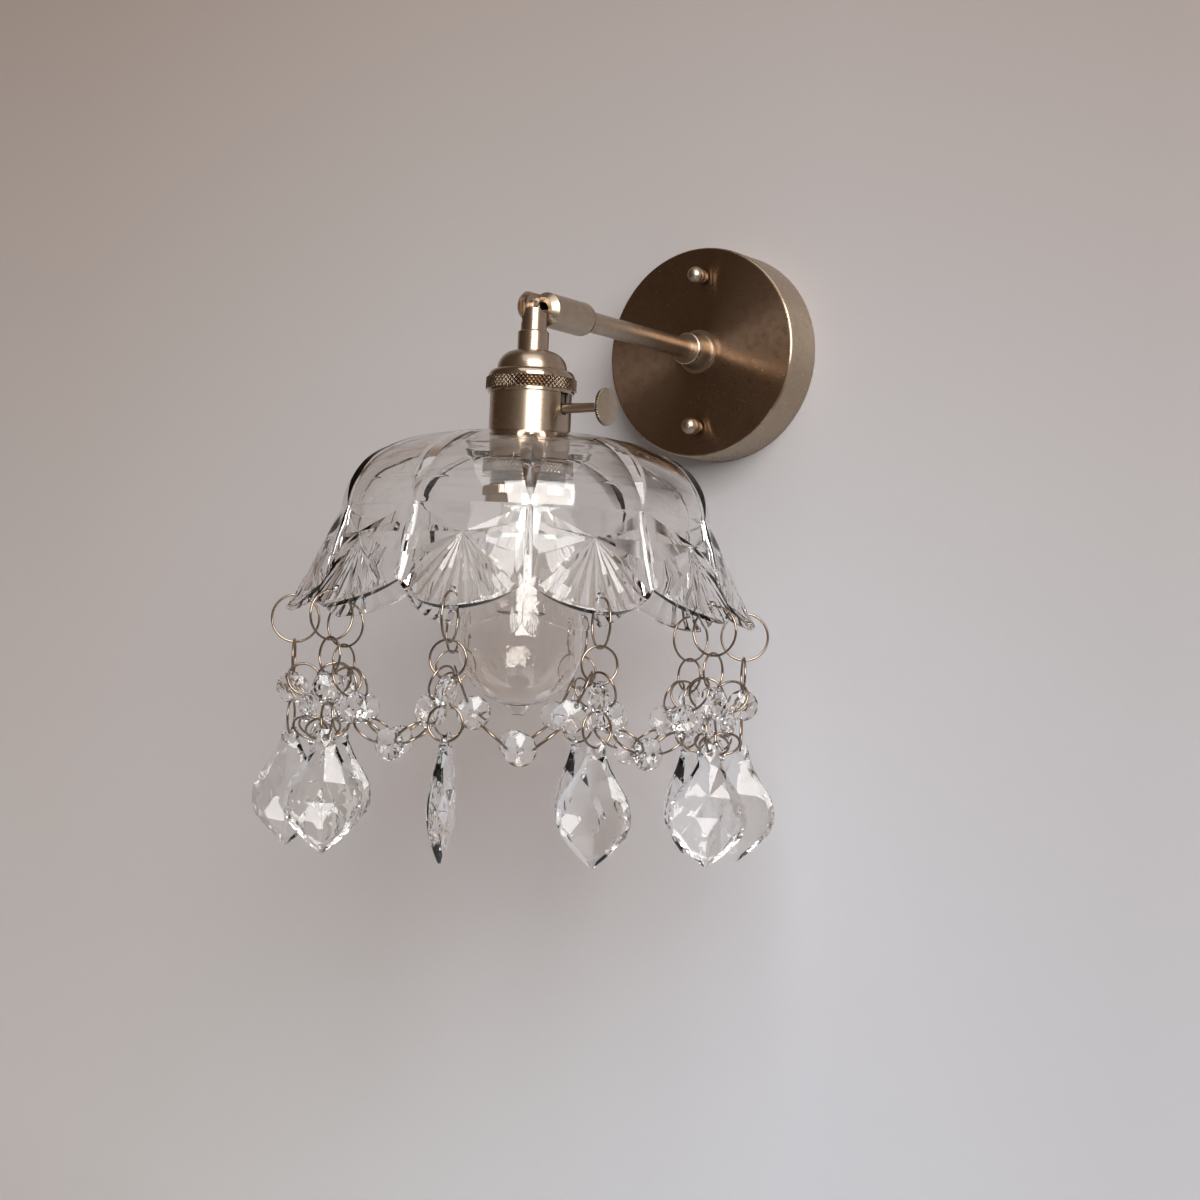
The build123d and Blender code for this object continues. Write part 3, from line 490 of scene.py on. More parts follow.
# -------------------------------------------------------------- modelling bench
class Bench:
    """Modelling calls that the pieces share."""

    @staticmethod
    def choose(*pieces: bpy.types.Object) -> None:
        """Selects these pieces alone and makes the first one active.

        Args:
            *pieces: The pieces to select.
        """
        bpy.ops.object.select_all(action="DESELECT")
        for piece in pieces:
            piece.select_set(True)
        bpy.context.view_layer.objects.active = pieces[0]

    @staticmethod
    @contextmanager
    def editing(piece: bpy.types.Object) -> Iterator[None]:
        """Edit mode on one piece, with all of its mesh selected.

        Args:
            piece: The piece to edit.

        Yields:
            Nothing, while the piece is in edit mode.
        """
        Bench.choose(piece)
        bpy.ops.object.mode_set(mode="EDIT")
        bpy.ops.mesh.select_all(action="SELECT")
        yield
        bpy.ops.object.mode_set(mode="OBJECT")

    @staticmethod
    def mesh(
        name: str,
        points: Sequence[Sequence[float]],
        faces: Sequence[Sequence[int]],
        groove_shades: Sequence[float] | None = None,
    ) -> bpy.types.Object:
        """A piece from points and faces, merged where they meet and facing outwards.

        Args:
            name: The piece's name.
            points: Corners, in millimetres.
            faces: Corner numbers of each face.
            groove_shades: How deep each corner lies in a groove, from 0 to 1, for its painted shade.

        Returns:
            The new piece, still in millimetres.
        """
        data = bpy.data.meshes.new(name)
        data.from_pydata([tuple(point) for point in points], [], [tuple(face) for face in faces])
        if groove_shades:
            data.attributes.new("groove_shade", "FLOAT", "POINT").data.foreach_set("value", groove_shades)
        piece = bpy.data.objects.new(name, data)
        bpy.context.collection.objects.link(piece)
        with Bench.editing(piece):
            bpy.ops.mesh.remove_doubles(threshold=0.0005)
            bpy.ops.mesh.normals_make_consistent(inside=False)
        return piece

    @staticmethod
    def turned(
        name: str,
        profile: Sequence[tuple[float, float]],
        columns: int,
        relief: Callable[[float, float, float], float] | None = None,
    ) -> bpy.types.Object:
        """A ring turned about the Z axis from a closed profile.

        Args:
            name: The piece's name.
            profile: Corners (radius, height) of the closed section.
            columns: Steps round the axis.
            relief: Change of radius for an angle, a radius and a height.

        Returns:
            The new piece, in millimetres, about the Z axis.
        """
        points, faces, reach, groove_shades, count = [], [], [], [], len(profile)
        for column in range(columns):
            angle = 2 * math.pi * column / columns
            for radius, height in profile:
                grown = radius + (relief(angle, radius, height) if relief else 0.0)
                points.append((grown * math.cos(angle), grown * math.sin(angle), height))
                reach.append(grown)
                # Painted shade: the deeper in a groove a corner lies, the darker its colour.
                groove_shades.append(min(1.0, (radius - grown) / GROOVE_SHADE_DEPTH))
        for column in range(columns):
            following = (column + 1) % columns
            for row in range(count):
                below = (row + 1) % count
                a, b = column * count + row, following * count + row
                c, d = following * count + below, column * count + below
                falling = reach[a] + reach[c] - reach[b] - reach[d]
                if abs(falling) < 1e-6:
                    faces.append((a, b, c, d))
                elif falling < 0:
                    faces += [(a, b, c), (a, c, d)]
                else:
                    faces += [(a, b, d), (b, c, d)]
        return Bench.mesh(name, points, faces, groove_shades)

    @staticmethod
    def finish(piece: bpy.types.Object, smooth_angle: float, place: Matrix | None = None) -> None:
        """Moves a mesh from millimetres to its place in metres and sets its shading.

        Args:
            piece: The piece.
            smooth_angle: Edges sharper than this many degrees stay sharp.
            place: Where it goes, in millimetres.
        """
        piece.data.transform(Matrix.Scale(MM, 4) @ (place or Matrix()))
        Bench.choose(piece)
        bpy.ops.object.shade_smooth_by_angle(angle=math.radians(smooth_angle))

    @staticmethod
    def apply(piece: bpy.types.Object, kind: str, **settings: object) -> None:
        """Adds a modifier and applies it.

        Args:
            piece: The piece.
            kind: The modifier's type.
            **settings: The modifier's settings.
        """
        modifier = piece.modifiers.new(kind.lower(), kind)
        for key, value in settings.items():
            setattr(modifier, key, value)
        Bench.choose(piece)
        bpy.ops.object.modifier_apply(modifier=modifier.name)

    @staticmethod
    def rod(
        radius: float, length: float, sides: int, place: Place = (0, 0, 0), bearing: float = 0.0
    ) -> bpy.types.Object:
        """A level cylinder.

        Args:
            radius: Its radius.
            length: Its length.
            sides: Its sides.
            place: Its middle.
            bearing: Its direction from the X axis, in radians.

        Returns:
            The cylinder, in millimetres.
        """
        bpy.ops.object.select_all(action="DESELECT")
        bpy.ops.mesh.primitive_cylinder_add(
            vertices=sides, radius=radius, depth=length, location=place, rotation=(0, math.pi / 2, bearing)
        )
        return bpy.context.object

    @staticmethod
    def drill(piece: bpy.types.Object, drills: Sequence[bpy.types.Object]) -> None:
        """Cuts holes and removes the drills.

        Args:
            piece: The piece to cut.
            drills: What is cut away from it.
        """
        for drill in drills:
            Bench.apply(piece, "BOOLEAN", operation="DIFFERENCE", object=drill, solver="EXACT")
            bpy.data.objects.remove(drill)

    @staticmethod
    def copies(name: str, model: bpy.types.Object, places: Sequence[Matrix]) -> bpy.types.Object:
        """One piece from copies of a model, which is then removed.

        Args:
            name: The new piece's name.
            model: The model, in millimetres.
            places: Where its copies go, in millimetres.

        Returns:
            The joined copies, in millimetres.
        """
        made = []
        for place in places:
            data = model.data.copy()
            data.transform(place)
            copy = bpy.data.objects.new(name, data)
            bpy.context.collection.objects.link(copy)
            made.append(copy)
        Bench.choose(*made)
        if len(made) > 1:
            bpy.ops.object.join()
        bpy.data.objects.remove(model)
        return made[0]


@dataclass
class Solid:
    """One solid of a CAD node, found again in the node's mesh.

    Attributes:
        centre: Middle of its corners, in millimetres.
        axes: Its directions of least, middle and greatest spread.
        low: Its lowest corner, in millimetres.
        high: Its highest corner, in millimetres.
    """

    centre: Vector
    axes: tuple[Vector, Vector, Vector]
    low: Vector
    high: Vector

    def place(self, side: Vector, up: Vector) -> Matrix:
        """A place at the solid's centre.

        Args:
            side: The direction of the place's X axis.
            up: The direction of its Z axis, nearly.

        Returns:
            The place, in millimetres.
        """
        facing = up.cross(side).normalized()
        true_up = side.cross(facing).normalized()
        turned = Matrix((side.normalized(), facing, true_up)).transposed().to_4x4()
        return Matrix.Translation(self.centre) @ turned


def solids_of(node: str) -> list[Solid]:
    """The separate solids of a CAD node.

    Args:
        node: The node's name.

    Returns:
        Each solid's centre, directions and corners.
    """
    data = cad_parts[node].data
    spots = np.array([vertex.co[:] for vertex in data.vertices]) / MM
    places, owner = np.unique(spots.round(3), axis=0, return_inverse=True)
    owner = owner.ravel()
    group = np.arange(len(places))
    corners = owner[np.array([polygon.vertices[:] for polygon in data.polygons])]
    changed = True
    while changed:
        least = group[corners].min(axis=1)
        before = group.copy()
        for column in range(corners.shape[1]):
            np.minimum.at(group, corners[:, column], least)
        group = group[group]
        changed = not np.array_equal(before, group)
    found = []
    for number in np.unique(group):
        own = places[group == number]
        centre = own.mean(axis=0)
        _, directions = np.linalg.eigh(np.cov((own - centre).T))
        axes = tuple(Vector(directions[:, column]) for column in range(3))
        found.append(Solid(Vector(centre), axes, Vector(own.min(axis=0)), Vector(own.max(axis=0))))
    return found


# --------------------------------------------------------------------- the glass
def arc_through(start: Vector, middle: Vector, end: Vector, share: float) -> Vector:
    """A point of the circle's arc through three points.

    Args:
        start: The arc's start.
        middle: A point on the arc.
        end: The arc's end.
        share: Place along the arc, from 0 to 1.

    Returns:
        The point.
    """
    ax, ay, bx, by, cx, cy = *start, *middle, *end
    scale = 2 * (ax * (by - cy) + bx * (cy - ay) + cx * (ay - by))
    squares = (ax * ax + ay * ay, bx * bx + by * by, cx * cx + cy * cy)
    centre = Vector(
        (
            (squares[0] * (by - cy) + squares[1] * (cy - ay) + squares[2] * (ay - by)) / scale,
            (squares[0] * (cx - bx) + squares[1] * (ax - cx) + squares[2] * (bx - ax)) / scale,
        )
    )
    first, second, last = start - centre, middle - centre, end - centre
    turn = math.atan2(first.x * second.y - first.y * second.x, first.dot(second))
    turn += math.atan2(second.x * last.y - second.y * last.x, second.dot(last))
    radius, angle = first.length, math.atan2(first.y, first.x) + turn * share
    return centre + radius * Vector((math.cos(angle), math.sin(angle)))


def last_within(within: Callable[[float], bool], low: float, high: float, steps: int) -> float:
    """The greatest value that passes a test, found by halving.

    Args:
        within: The test, which low passes and high doesn't.
        low: The least value.
        high: The greatest value.
        steps: How often the range is halved.

    Returns:
        The value.
    """
    for _ in range(steps):
        middle = (low + high) / 2
        low, high = (middle, high) if within(middle) else (low, middle)
    return low


@dataclass
class GlassShade:
    """The scalloped pressed-glass shade: dome, ribs, and petals with cut stars.

    Lengths are in millimetres; heights are measured from the arm's axis.
    """

    petals: int = 10
    wall: float = 3.0
    hole_radius: float = 21.7
    seat_radius: float = 28.0
    seat_height: float = -76.2
    upper_dome: tuple = (Vector((33.0, -67.2)), Vector((55.1, -70.8)), Vector((74.0, -78.5)))
    lower_dome: tuple = (Vector((74.0, -78.5)), Vector((88.6, -91.2)), Vector((94.2, -109.2)))
    flare: tuple = (  # height, radius at the notches, radius at the petals' crests
        (-109.2, 94.2, 94.5),
        (-124.2, 98.2, 101.6),
        (-142.2, 103.0, 109.8),
        (-152.2, 105.8, 115.4),
        (-162.2, 108.8, 121.4),
    )
    notch_height: float = -147.4
    tip_height: float = -160.4
    scallop_middle: tuple = (0.42, 0.34)  # of the way across, and of the way up
    rim_overhang: float = 0.97
    hook_hole_height: float = -152.8
    hook_hole_radius: float = 1.6
    hook_hole_reach: float = 115.0
    rib_half_width: float = 6.0
    rib_height: float = 2.4
    rib_stations: tuple = (  # place on the dome from 0 to 1, width share, height share
        (0.17, 1.0, 0.0),
        (0.19, 1.0, 1.0),
        (0.43, 1.0, 1.0),
        (0.65, 0.9, 1.0),
        (0.825, 0.6, 0.8),
        (1.0, 0.0, 0.0),
    )
    star_height: float = -124.2
    longest_ray: float = 60.0
    border_height: float = -118.6
    flutes: int = 4  # on either side of the middle
    flute_angle: float = 12.0
    flute_depth: float = 1.5
    flute_length: float = 35.0  # where a flute is as deep as flute_depth
    kites: tuple = (72.0, 103.0)  # degrees from straight down
    kite_depth: float = 1.7
    kite_middle: float = 0.62
    notch_ridge: float = 0.9
    lip_share: float = 0.94
    rings: int = 14
    panel_columns: int = 8
    dome_rows: int = 24
    border_rows: int = 3
    unrolled: float = 104.0  # radius at which a petal is laid flat
    smooth_angle: float = 9.0

    @property
    def half_petal(self) -> float:
        """Half of a petal's angle, in radians."""
        return math.pi / self.petals

    @property
    def half_width(self) -> float:
        """Half of a petal's width when laid flat."""
        return self.unrolled * self.half_petal

    def radius(self, angle: float, height: float) -> float:
        """Radius of the petals' outer surface.

        Args:
            angle: Angle from the petal's middle, in radians.
            height: Height of the point.

        Returns:
            The distance from the socket's axis.
        """
        heights = [row[0] for row in self.flare]
        step = next((i for i in range(len(heights) - 2) if height >= heights[i + 1]), len(heights) - 2)
        share = (height - heights[step]) / (heights[step + 1] - heights[step])
        spread = []
        for column in (1, 2):
            values = [row[column] for row in self.flare]
            before = values[step - 1] if step else 2 * values[0] - values[1]
            after = values[step + 2] if step + 2 < len(values) else 2 * values[-1] - values[-2]
            start, end = values[step], values[step + 1]
            rise, run = (end - before) / 2, (after - start) / 2
            spread.append(
                start
                + rise * share
                + (3 * (end - start) - 2 * rise - run) * share**2
                + (2 * (start - end) + rise + run) * share**3
            )
        notch, crest = spread
        middle = (crest**2 - notch**2) / (2 * (crest - notch * math.cos(self.half_petal)))
        return middle * math.cos(angle) + math.sqrt((crest - middle) ** 2 - (middle * math.sin(angle)) ** 2)

    def on_petal(self, angle: float, height: float) -> Vector:
        """A point of the petals' outer surface, in the petal's own (out, side, up) frame.

        Args:
            angle: Angle from the petal's middle, in radians.
            height: Height of the point.

        Returns:
            The point.
        """
        radius = self.radius(angle, height)
        return Vector((radius * math.cos(angle), radius * math.sin(angle), height))

    def on_dome(self, angle: float, share: float) -> Vector:
        """A point of the dome's outer surface, in the petal's own frame.

        Args:
            angle: Angle from the petal's middle, in radians.
            share: Place on the dome, from 0 at its well to 1 at the petals.

        Returns:
            The point.
        """
        if share < 0.5:
            spot = arc_through(*self.upper_dome, share * 2)
        else:
            spot = arc_through(*self.lower_dome, share * 2 - 1)
        return Vector((spot.x * math.cos(angle), spot.x * math.sin(angle), spot.y))

    def rim(self, angle: float) -> float:
        """Height of the scalloped rim.

        Args:
            angle: Angle from the petal's middle, in radians.

        Returns:
            The rim's height.
        """
        crest = self.flare[-1][2]
        reach = crest * math.sin(self.half_petal)
        across = crest * math.sin(self.half_petal - abs(angle)) * self.rim_overhang
        start, end = Vector((0.0, self.notch_height)), Vector((reach, self.tip_height))
        out, up = self.scallop_middle
        middle = Vector((reach * out, self.tip_height + (self.notch_height - self.tip_height) * up))
        place = last_within(lambda share: arc_through(start, middle, end, share).x < across, 0.0, 1.0, 30)
        return arc_through(start, middle, end, place).y

    def rib_at(self, share: float) -> tuple[float, float]:
        """Half width and height of the rib at a place on the dome.

        Args:
            share: Place on the dome, from 0 to 1.

        Returns:
            Half width and height, in millimetres.
        """
        places, widths, heights = zip(*self.rib_stations)
        width, height = np.interp(share, places, widths), np.interp(share, places, heights)
        return self.rib_half_width * float(width), self.rib_height * float(height)

    def normal(self, surface: Callable[[float, float], Vector], angle: float, along: float) -> Vector:
        """Outward direction of a surface.

        Args:
            surface: The surface, of an angle and a second place.
            angle: The angle.
            along: The second place.

        Returns:
            The direction, of length 1.
        """
        small = 1e-3
        sideways = surface(angle + small, along) - surface(angle - small, along)
        onwards = surface(angle, along + small) - surface(angle, along - small)
        normal = sideways.cross(onwards).normalized()
        return normal if normal.x + normal.z > 0 else -normal

    def rays(self) -> list[tuple[float, float, float]]:
        """Directions of the star's rays, in degrees from straight down.

        Returns:
            For each ray its direction, its flute share and its kite share.
        """
        side = self.half_width
        notch = math.degrees(math.atan2(side, self.star_height - self.notch_height))
        rib_end = 90 + math.degrees(math.atan2(self.flare[0][0] - self.star_height, side))
        step = self.flute_angle / 2
        half = [(step * number, float(number % 2), 0.0) for number in range(2 * self.flutes + 1)]
        half += [(notch, 0.0, 0.0), (self.kites[0], 0.0, 1.0), (90.0, 0.0, 0.0), (self.kites[1], 0.0, 1.0)]
        half.append((rib_end, 0.0, 0.0))
        for number in range(1, self.panel_columns):
            across = side * (1 - number / self.panel_columns)
            rise = self.border(across) - self.star_height
            half.append((90 + math.degrees(math.atan2(rise, across)), 0.0, 0.0))
        half.append((180.0, 0.0, 0.0))
        return [(-turn, flute, kite) for turn, flute, kite in half[:0:-1]] + half

    def border(self, across: float) -> float:
        """Height of the border between a smooth panel and the star.

        Args:
            across: Unrolled distance from the petal's middle.

        Returns:
            The border's height.
        """
        share = min(abs(across) / self.half_width, 1.0)
        return self.border_height + (self.flare[0][0] - self.border_height) * share

    def reach(self, turn: float) -> float:
        """Unrolled length of a ray, from the star's middle to the petal's edge.

        Args:
            turn: The ray's direction, in radians from straight down.

        Returns:
            The length.
        """
        side = self.half_width

        def within(length: float) -> bool:
            across, height = length * math.sin(turn), self.star_height - length * math.cos(turn)
            inside = abs(across) <= side + 1e-6 and height <= self.border(across)
            return inside and (abs(across) > side or height >= self.rim(across / self.unrolled))

        return last_within(within, 0.0, self.longest_ray, 40)

    def star(self) -> tuple[list[list[tuple[Vector, Vector]]], list[list[int]]]:
        """The star's part of one petal.

        Returns:
            Rows of pairs (outer point, inner point), one row for each ray.
        """
        rows, side = [], self.half_width
        for turn, flute, kite in self.rays():
            angle = math.radians(turn)
            length = self.reach(angle)
            row = []
            for ring in range(self.rings + 1):
                share = ring / (self.rings - 1) * self.lip_share if ring < self.rings else 1.0
                across = min(max(length * share * math.sin(angle), -side), side)
                height = self.star_height - length * share * math.cos(angle)
                bearing = across / self.unrolled
                base = self.on_petal(bearing, height)
                normal = self.normal(self.on_petal, bearing, height)
                flute_share = share * length / self.flute_length if ring < self.rings else 0.0
                kite_share = min(share / self.kite_middle, (1 - share) / (1 - self.kite_middle))
                depth = flute * self.flute_depth * flute_share + kite * self.kite_depth * kite_share
                if abs(across) > side - 1e-3 and self.notch_height + 1 < height < self.flare[0][0] - 1:
                    depth -= self.notch_ridge
                row.append((base - normal * depth, base - normal * self.wall))
            rows.append(row)
        return rows

    def panel(self) -> list[list[tuple[Vector, Vector]]]:
        """Seat, well and dome of one petal's sector, with half a rib on either side.

        Returns:
            Rows of pairs (outer point, inner point), from the hole to the border.
        """
        rows = []
        lowered = Vector((0.0, 0.0, self.wall))
        for radius in (self.hole_radius, self.seat_radius):
            rows.append([])
            for bearing in self.bearings(radius, 0.5):
                spot = Vector((radius * math.cos(bearing), radius * math.sin(bearing), self.seat_height))
                rows[-1].append((spot, spot - lowered))
        places = {row / self.dome_rows for row in range(self.dome_rows + 1)}
        for share in sorted(places | {station[0] for station in self.rib_stations}):
            half_width, height = self.rib_at(share)
            radius = self.on_dome(0.0, share).x
            rows.append([])
            if share < self.rib_stations[0][0]:
                half_width = self.rib_half_width
            bearings = self.bearings(radius, half_width)
            for column, bearing in enumerate(bearings):
                base = self.on_dome(bearing, share)
                normal = self.normal(self.on_dome, bearing, min(max(share, 0.002), 0.998))
                raised = height if column in (0, len(bearings) - 1) else 0.0
                outwards = Vector((math.cos(bearing), math.sin(bearing), 0.0))
                rows[-1].append((base + outwards * raised, base - normal * self.wall))
        for row in range(1, self.border_rows + 1):
            rows.append([])
            for bearing in self.bearings(self.lower_dome[-1].x, 0.0):
                edge = self.border(bearing * self.unrolled)
                height = self.flare[0][0] + (edge - self.flare[0][0]) * row / self.border_rows
                base = self.on_petal(bearing, height)
                normal = self.normal(self.on_petal, bearing, height)
                rows[-1].append((base, base - normal * self.wall))
        return rows

    def bearings(self, radius: float, rib: float) -> list[float]:
        """Angles of the columns across one sector, from rib to rib.

        Args:
            radius: Radius of the row.
            rib: Half width of the rib there.

        Returns:
            The angles, in radians.
        """
        edge = self.half_petal - rib / radius
        steps = self.panel_columns
        inner = (edge * (column / steps - 1) for column in range(2 * steps + 1))
        return [-self.half_petal, *inner, self.half_petal]

    def build(self, palette: Palette) -> None:
        """Makes the shade.

        Args:
            palette: The materials.
        """
        spots: dict[tuple, int] = {}
        outer, inner, faces = [], [], []

        def number(pair: tuple[Vector, Vector], turn: Matrix) -> int:
            base = turn @ pair[1]
            key = tuple(round(value, 2) + 0.0 for value in base)
            if key not in spots:
                spots[key] = len(outer)
                outer.append(turn @ pair[0])
                inner.append(base)
            return spots[key]

        for rows in (self.panel(), self.star()):
            for petal in range(self.petals):
                turn = Matrix.Rotation((2 * petal + 1) * self.half_petal, 3, "Z")
                table = [[number(pair, turn) for pair in row] for row in rows]
                for first, second in zip(table, table[1:]):
                    for a, b, c, d in zip(first, first[1:], second[1:], second):
                        corners = list(dict.fromkeys((a, b, c, d)))
                        if len(corners) > 2:
                            faces.append(corners)
        count = len(outer)
        edges: dict[tuple[int, int], int] = {}
        for face in faces:
            for a, b in zip(face, face[1:] + face[:1]):
                edges[(min(a, b), max(a, b))] = edges.get((min(a, b), max(a, b)), 0) + 1
        shell = faces + [[corner + count for corner in reversed(face)] for face in faces]
        shell += [[a, b, b + count, a + count] for (a, b), uses in edges.items() if uses == 1]
        piece = Bench.mesh("shade_of_pressed_glass", outer + inner, shell)
        drills = []
        reach = self.hook_hole_reach
        for petal in range(self.petals):
            bearing = (2 * petal + 1) * self.half_petal
            place = (reach * math.cos(bearing), reach * math.sin(bearing), self.hook_hole_height)
            drills.append(Bench.rod(self.hook_hole_radius, 20, 16, place, bearing))
        Bench.drill(piece, drills)
        Bench.finish(piece, self.smooth_angle, AT_SOCKET @ Matrix.Rotation(-math.pi / 2, 4, "Z"))
        palette.stand_in(piece, "glass_shade", Finish.SHADE_GLASS, LAMPHOLDER)


# ------------------------------------------------------------------ the crystals
@dataclass(frozen=True)
class Facet:
    """One cut of a crystal: the plane lies at reach from its middle.

    Attributes:
        bearing: Direction of the cut in the crystal's face, in degrees from its right.
        lean: Angle from the face, 90 for a cut square to the edge.
        point: A point on the cut, (right, up, out) in millimetres.
    """

    bearing: float
    lean: float
    point: Place


@dataclass
class Crystal:
    """A crystal cut from a block by planes, alike on both faces, with drilled holes.

    Attributes:
        name: Name of the crystal's model.
        block: The block's right, up and out half sizes, in millimetres.
        middle: Height of the block's middle.
        facets: The cuts; each is also made mirrored on the other face.
        holes: Heights of the holes.
        hole_radius: Their radius.
    """

    name: str
    block: Place
    middle: float
    facets: Sequence[Facet]
    holes: Sequence[float]
    hole_radius: float

    def build(self) -> bpy.types.Object:
        """Cuts the crystal.

        Returns:
            The model in millimetres, facing X, with its height along Z.
        """
        right, up, out = self.block
        bpy.ops.object.select_all(action="DESELECT")
        bpy.ops.mesh.primitive_cube_add(size=2, location=(0, 0, self.middle))
        piece = bpy.context.object
        piece.name = self.name
        piece.data.transform(Matrix.Translation((0, 0, self.middle)) @ Matrix.Diagonal((out, right, up, 1)))
        piece.location = (0, 0, 0)
        for facet in self.facets:
            bearing, lean = math.radians(facet.bearing), math.radians(facet.lean)
            for side in (1, -1) if facet.lean < 90 else (1,):
                normal = (
                    side * math.cos(lean),
                    math.sin(lean) * math.cos(bearing),
                    math.sin(lean) * math.sin(bearing),
                )
                spot = (side * facet.point[2], facet.point[0], facet.point[1])
                with Bench.editing(piece):
                    bpy.ops.mesh.bisect(
                        plane_co=spot, plane_no=normal, use_fill=True, clear_outer=True, threshold=1e-4
                    )
        with Bench.editing(piece):
            bpy.ops.mesh.remove_doubles(threshold=0.01)
            bpy.ops.mesh.normals_make_consistent(inside=False)
        length = 4 * out
        Bench.drill(piece, [Bench.rod(self.hole_radius, length, 14, (0, 0, height)) for height in self.holes])
        return piece


def bead_facets() -> list[Facet]:
    """Cuts of a bead, 16 mm across and 8 mm thick: narrow and wide ones take turns.

    Returns:
        The cuts.
    """
    cuts = []
    for number in range(16):
        bearing = number * 22.5
        right, up = math.cos(math.radians(bearing)), math.sin(math.radians(bearing))
        lean, reach, out = (40, 7.95, 0.9) if number % 2 else (21, 7.2, 1.7)
        cuts.append(Facet(bearing, 90, (7.9 * right, 7.9 * up, 0.0)))
        cuts.append(Facet(bearing, lean, (reach * right, reach * up, out)))
    return cuts


@dataclass
class LeafDrop:
    """A leaf-shaped drop, hung from its hole, with the same facets on both faces.

    Lengths are in millimetres, measured from the hole.

    Attributes:
        outline: Corners (right, up) of its right edge, from the top down.
        tip: The corner at its tip.
        edge: Half thickness of the outline.
        bevel: Width of the bevel inside the outline.
        neck: Bevel corners nearer the middle than this are left out.
        shoulder: Half thickness at the bevel's inner edge.
        crown: Corners (right, up, out) of the facets inside the bevel, right of the middle.
        ridges: Pairs of crown corners that an edge joins.
        hole_radius: Radius of the hole.
    """

    outline: tuple = (
        (2.8, 4.0), (4.4, 0.8), (4.9, -3.2), (7.9, -9.4), (11.6, -15.0), (15.6, -20.5),
        (18.2, -25.6), (19.0, -30.5), (18.8, -35.5), (16.9, -40.5), (12.2, -45.6), (6.6, -50.8),
    )
    tip: tuple = (0.0, -56.0)
    edge: float = 0.7
    bevel: float = 2.4
    neck: float = 1.6
    shoulder: float = 2.1
    crown: tuple = (
        (0.0, -5.0, 2.5), (0.0, -21.0, 5.0), (10.5, -22.0, 3.3), (5.2, -31.5, 4.8),
        (11.8, -40.0, 2.8), (0.0, -40.5, 4.2), (0.0, -50.5, 2.3), (13.8, -30.5, 2.9),
    )
    ridges: tuple = ((0, 1), (1, 2), (1, 3), (2, 3), (3, 4), (3, 5), (4, 5), (5, 6), (2, 7), (4, 7), (3, 7))
    hole_radius: float = 1.8

    def corners(self) -> tuple[list[Place], list[tuple[int, int]], int]:
        """Corners of one face.

        Returns:
            The corners (right, up, out), the edges that facets keep, and how many of the
            corners are on the outline, which come first and in order.
        """
        rim = [*self.outline, self.tip, *((-right, up) for right, up in reversed(self.outline))]
        count = len(rim)
        spots = [(right, up, self.edge) for right, up in rim]
        edges = [(number, (number + 1) % count) for number in range(count)]
        for number in range(1, count - 2):
            start, end = Vector(rim[number]), Vector(rim[number + 1])
            along = (end - start).normalized()
            inward = Vector((along.y, -along.x))
            spot = (start + end) / 2 + inward * self.bevel
            if abs(spot.x) > self.neck:
                spots.append((spot.x, spot.y, self.shoulder))
        first = len(spots)
        spots += self.crown
        mirrored = {}
        for number, (right, up, out) in enumerate(self.crown):
            mirrored[number] = first + number if right == 0 else len(spots)
            if right:
                spots.append((-right, up, out))
        edges += [(first + a, first + b) for a, b in self.ridges]
        edges += [(mirrored[a], mirrored[b]) for a, b in self.ridges]
        return spots, edges, count

    def build(self) -> bpy.types.Object:
        """Cuts the drop.

        Returns:
            The model in millimetres, facing X, with its height along Z.
        """
        spots, edges, count = self.corners()
        flat = [Vector(spot[:2]) for spot in spots]
        found, _, facets, sources, _, _ = delaunay_2d_cdt(flat, edges, [], 1, 1e-4)
        number_of = {source: number for number, own in enumerate(sources) for source in own}
        depth = [spots[own[0]][2] if own else self.shoulder for own in sources]
        total = len(found)
        points = [(out, spot.x, spot.y) for spot, out in zip(found, depth)]
        points += [(-out, spot.x, spot.y) for spot, out in zip(found, depth)]
        faces = [tuple(facet) for facet in facets]
        faces += [tuple(corner + total for corner in reversed(facet)) for facet in facets]
        rim = [number_of[number] for number in range(count)]
        faces += [(a, b, b + total, a + total) for a, b in zip(rim, rim[1:] + rim[:1])]
        piece = Bench.mesh("drop_model", points, faces)
        Bench.drill(piece, [Bench.rod(self.hole_radius, 20, 14)])
        return piece


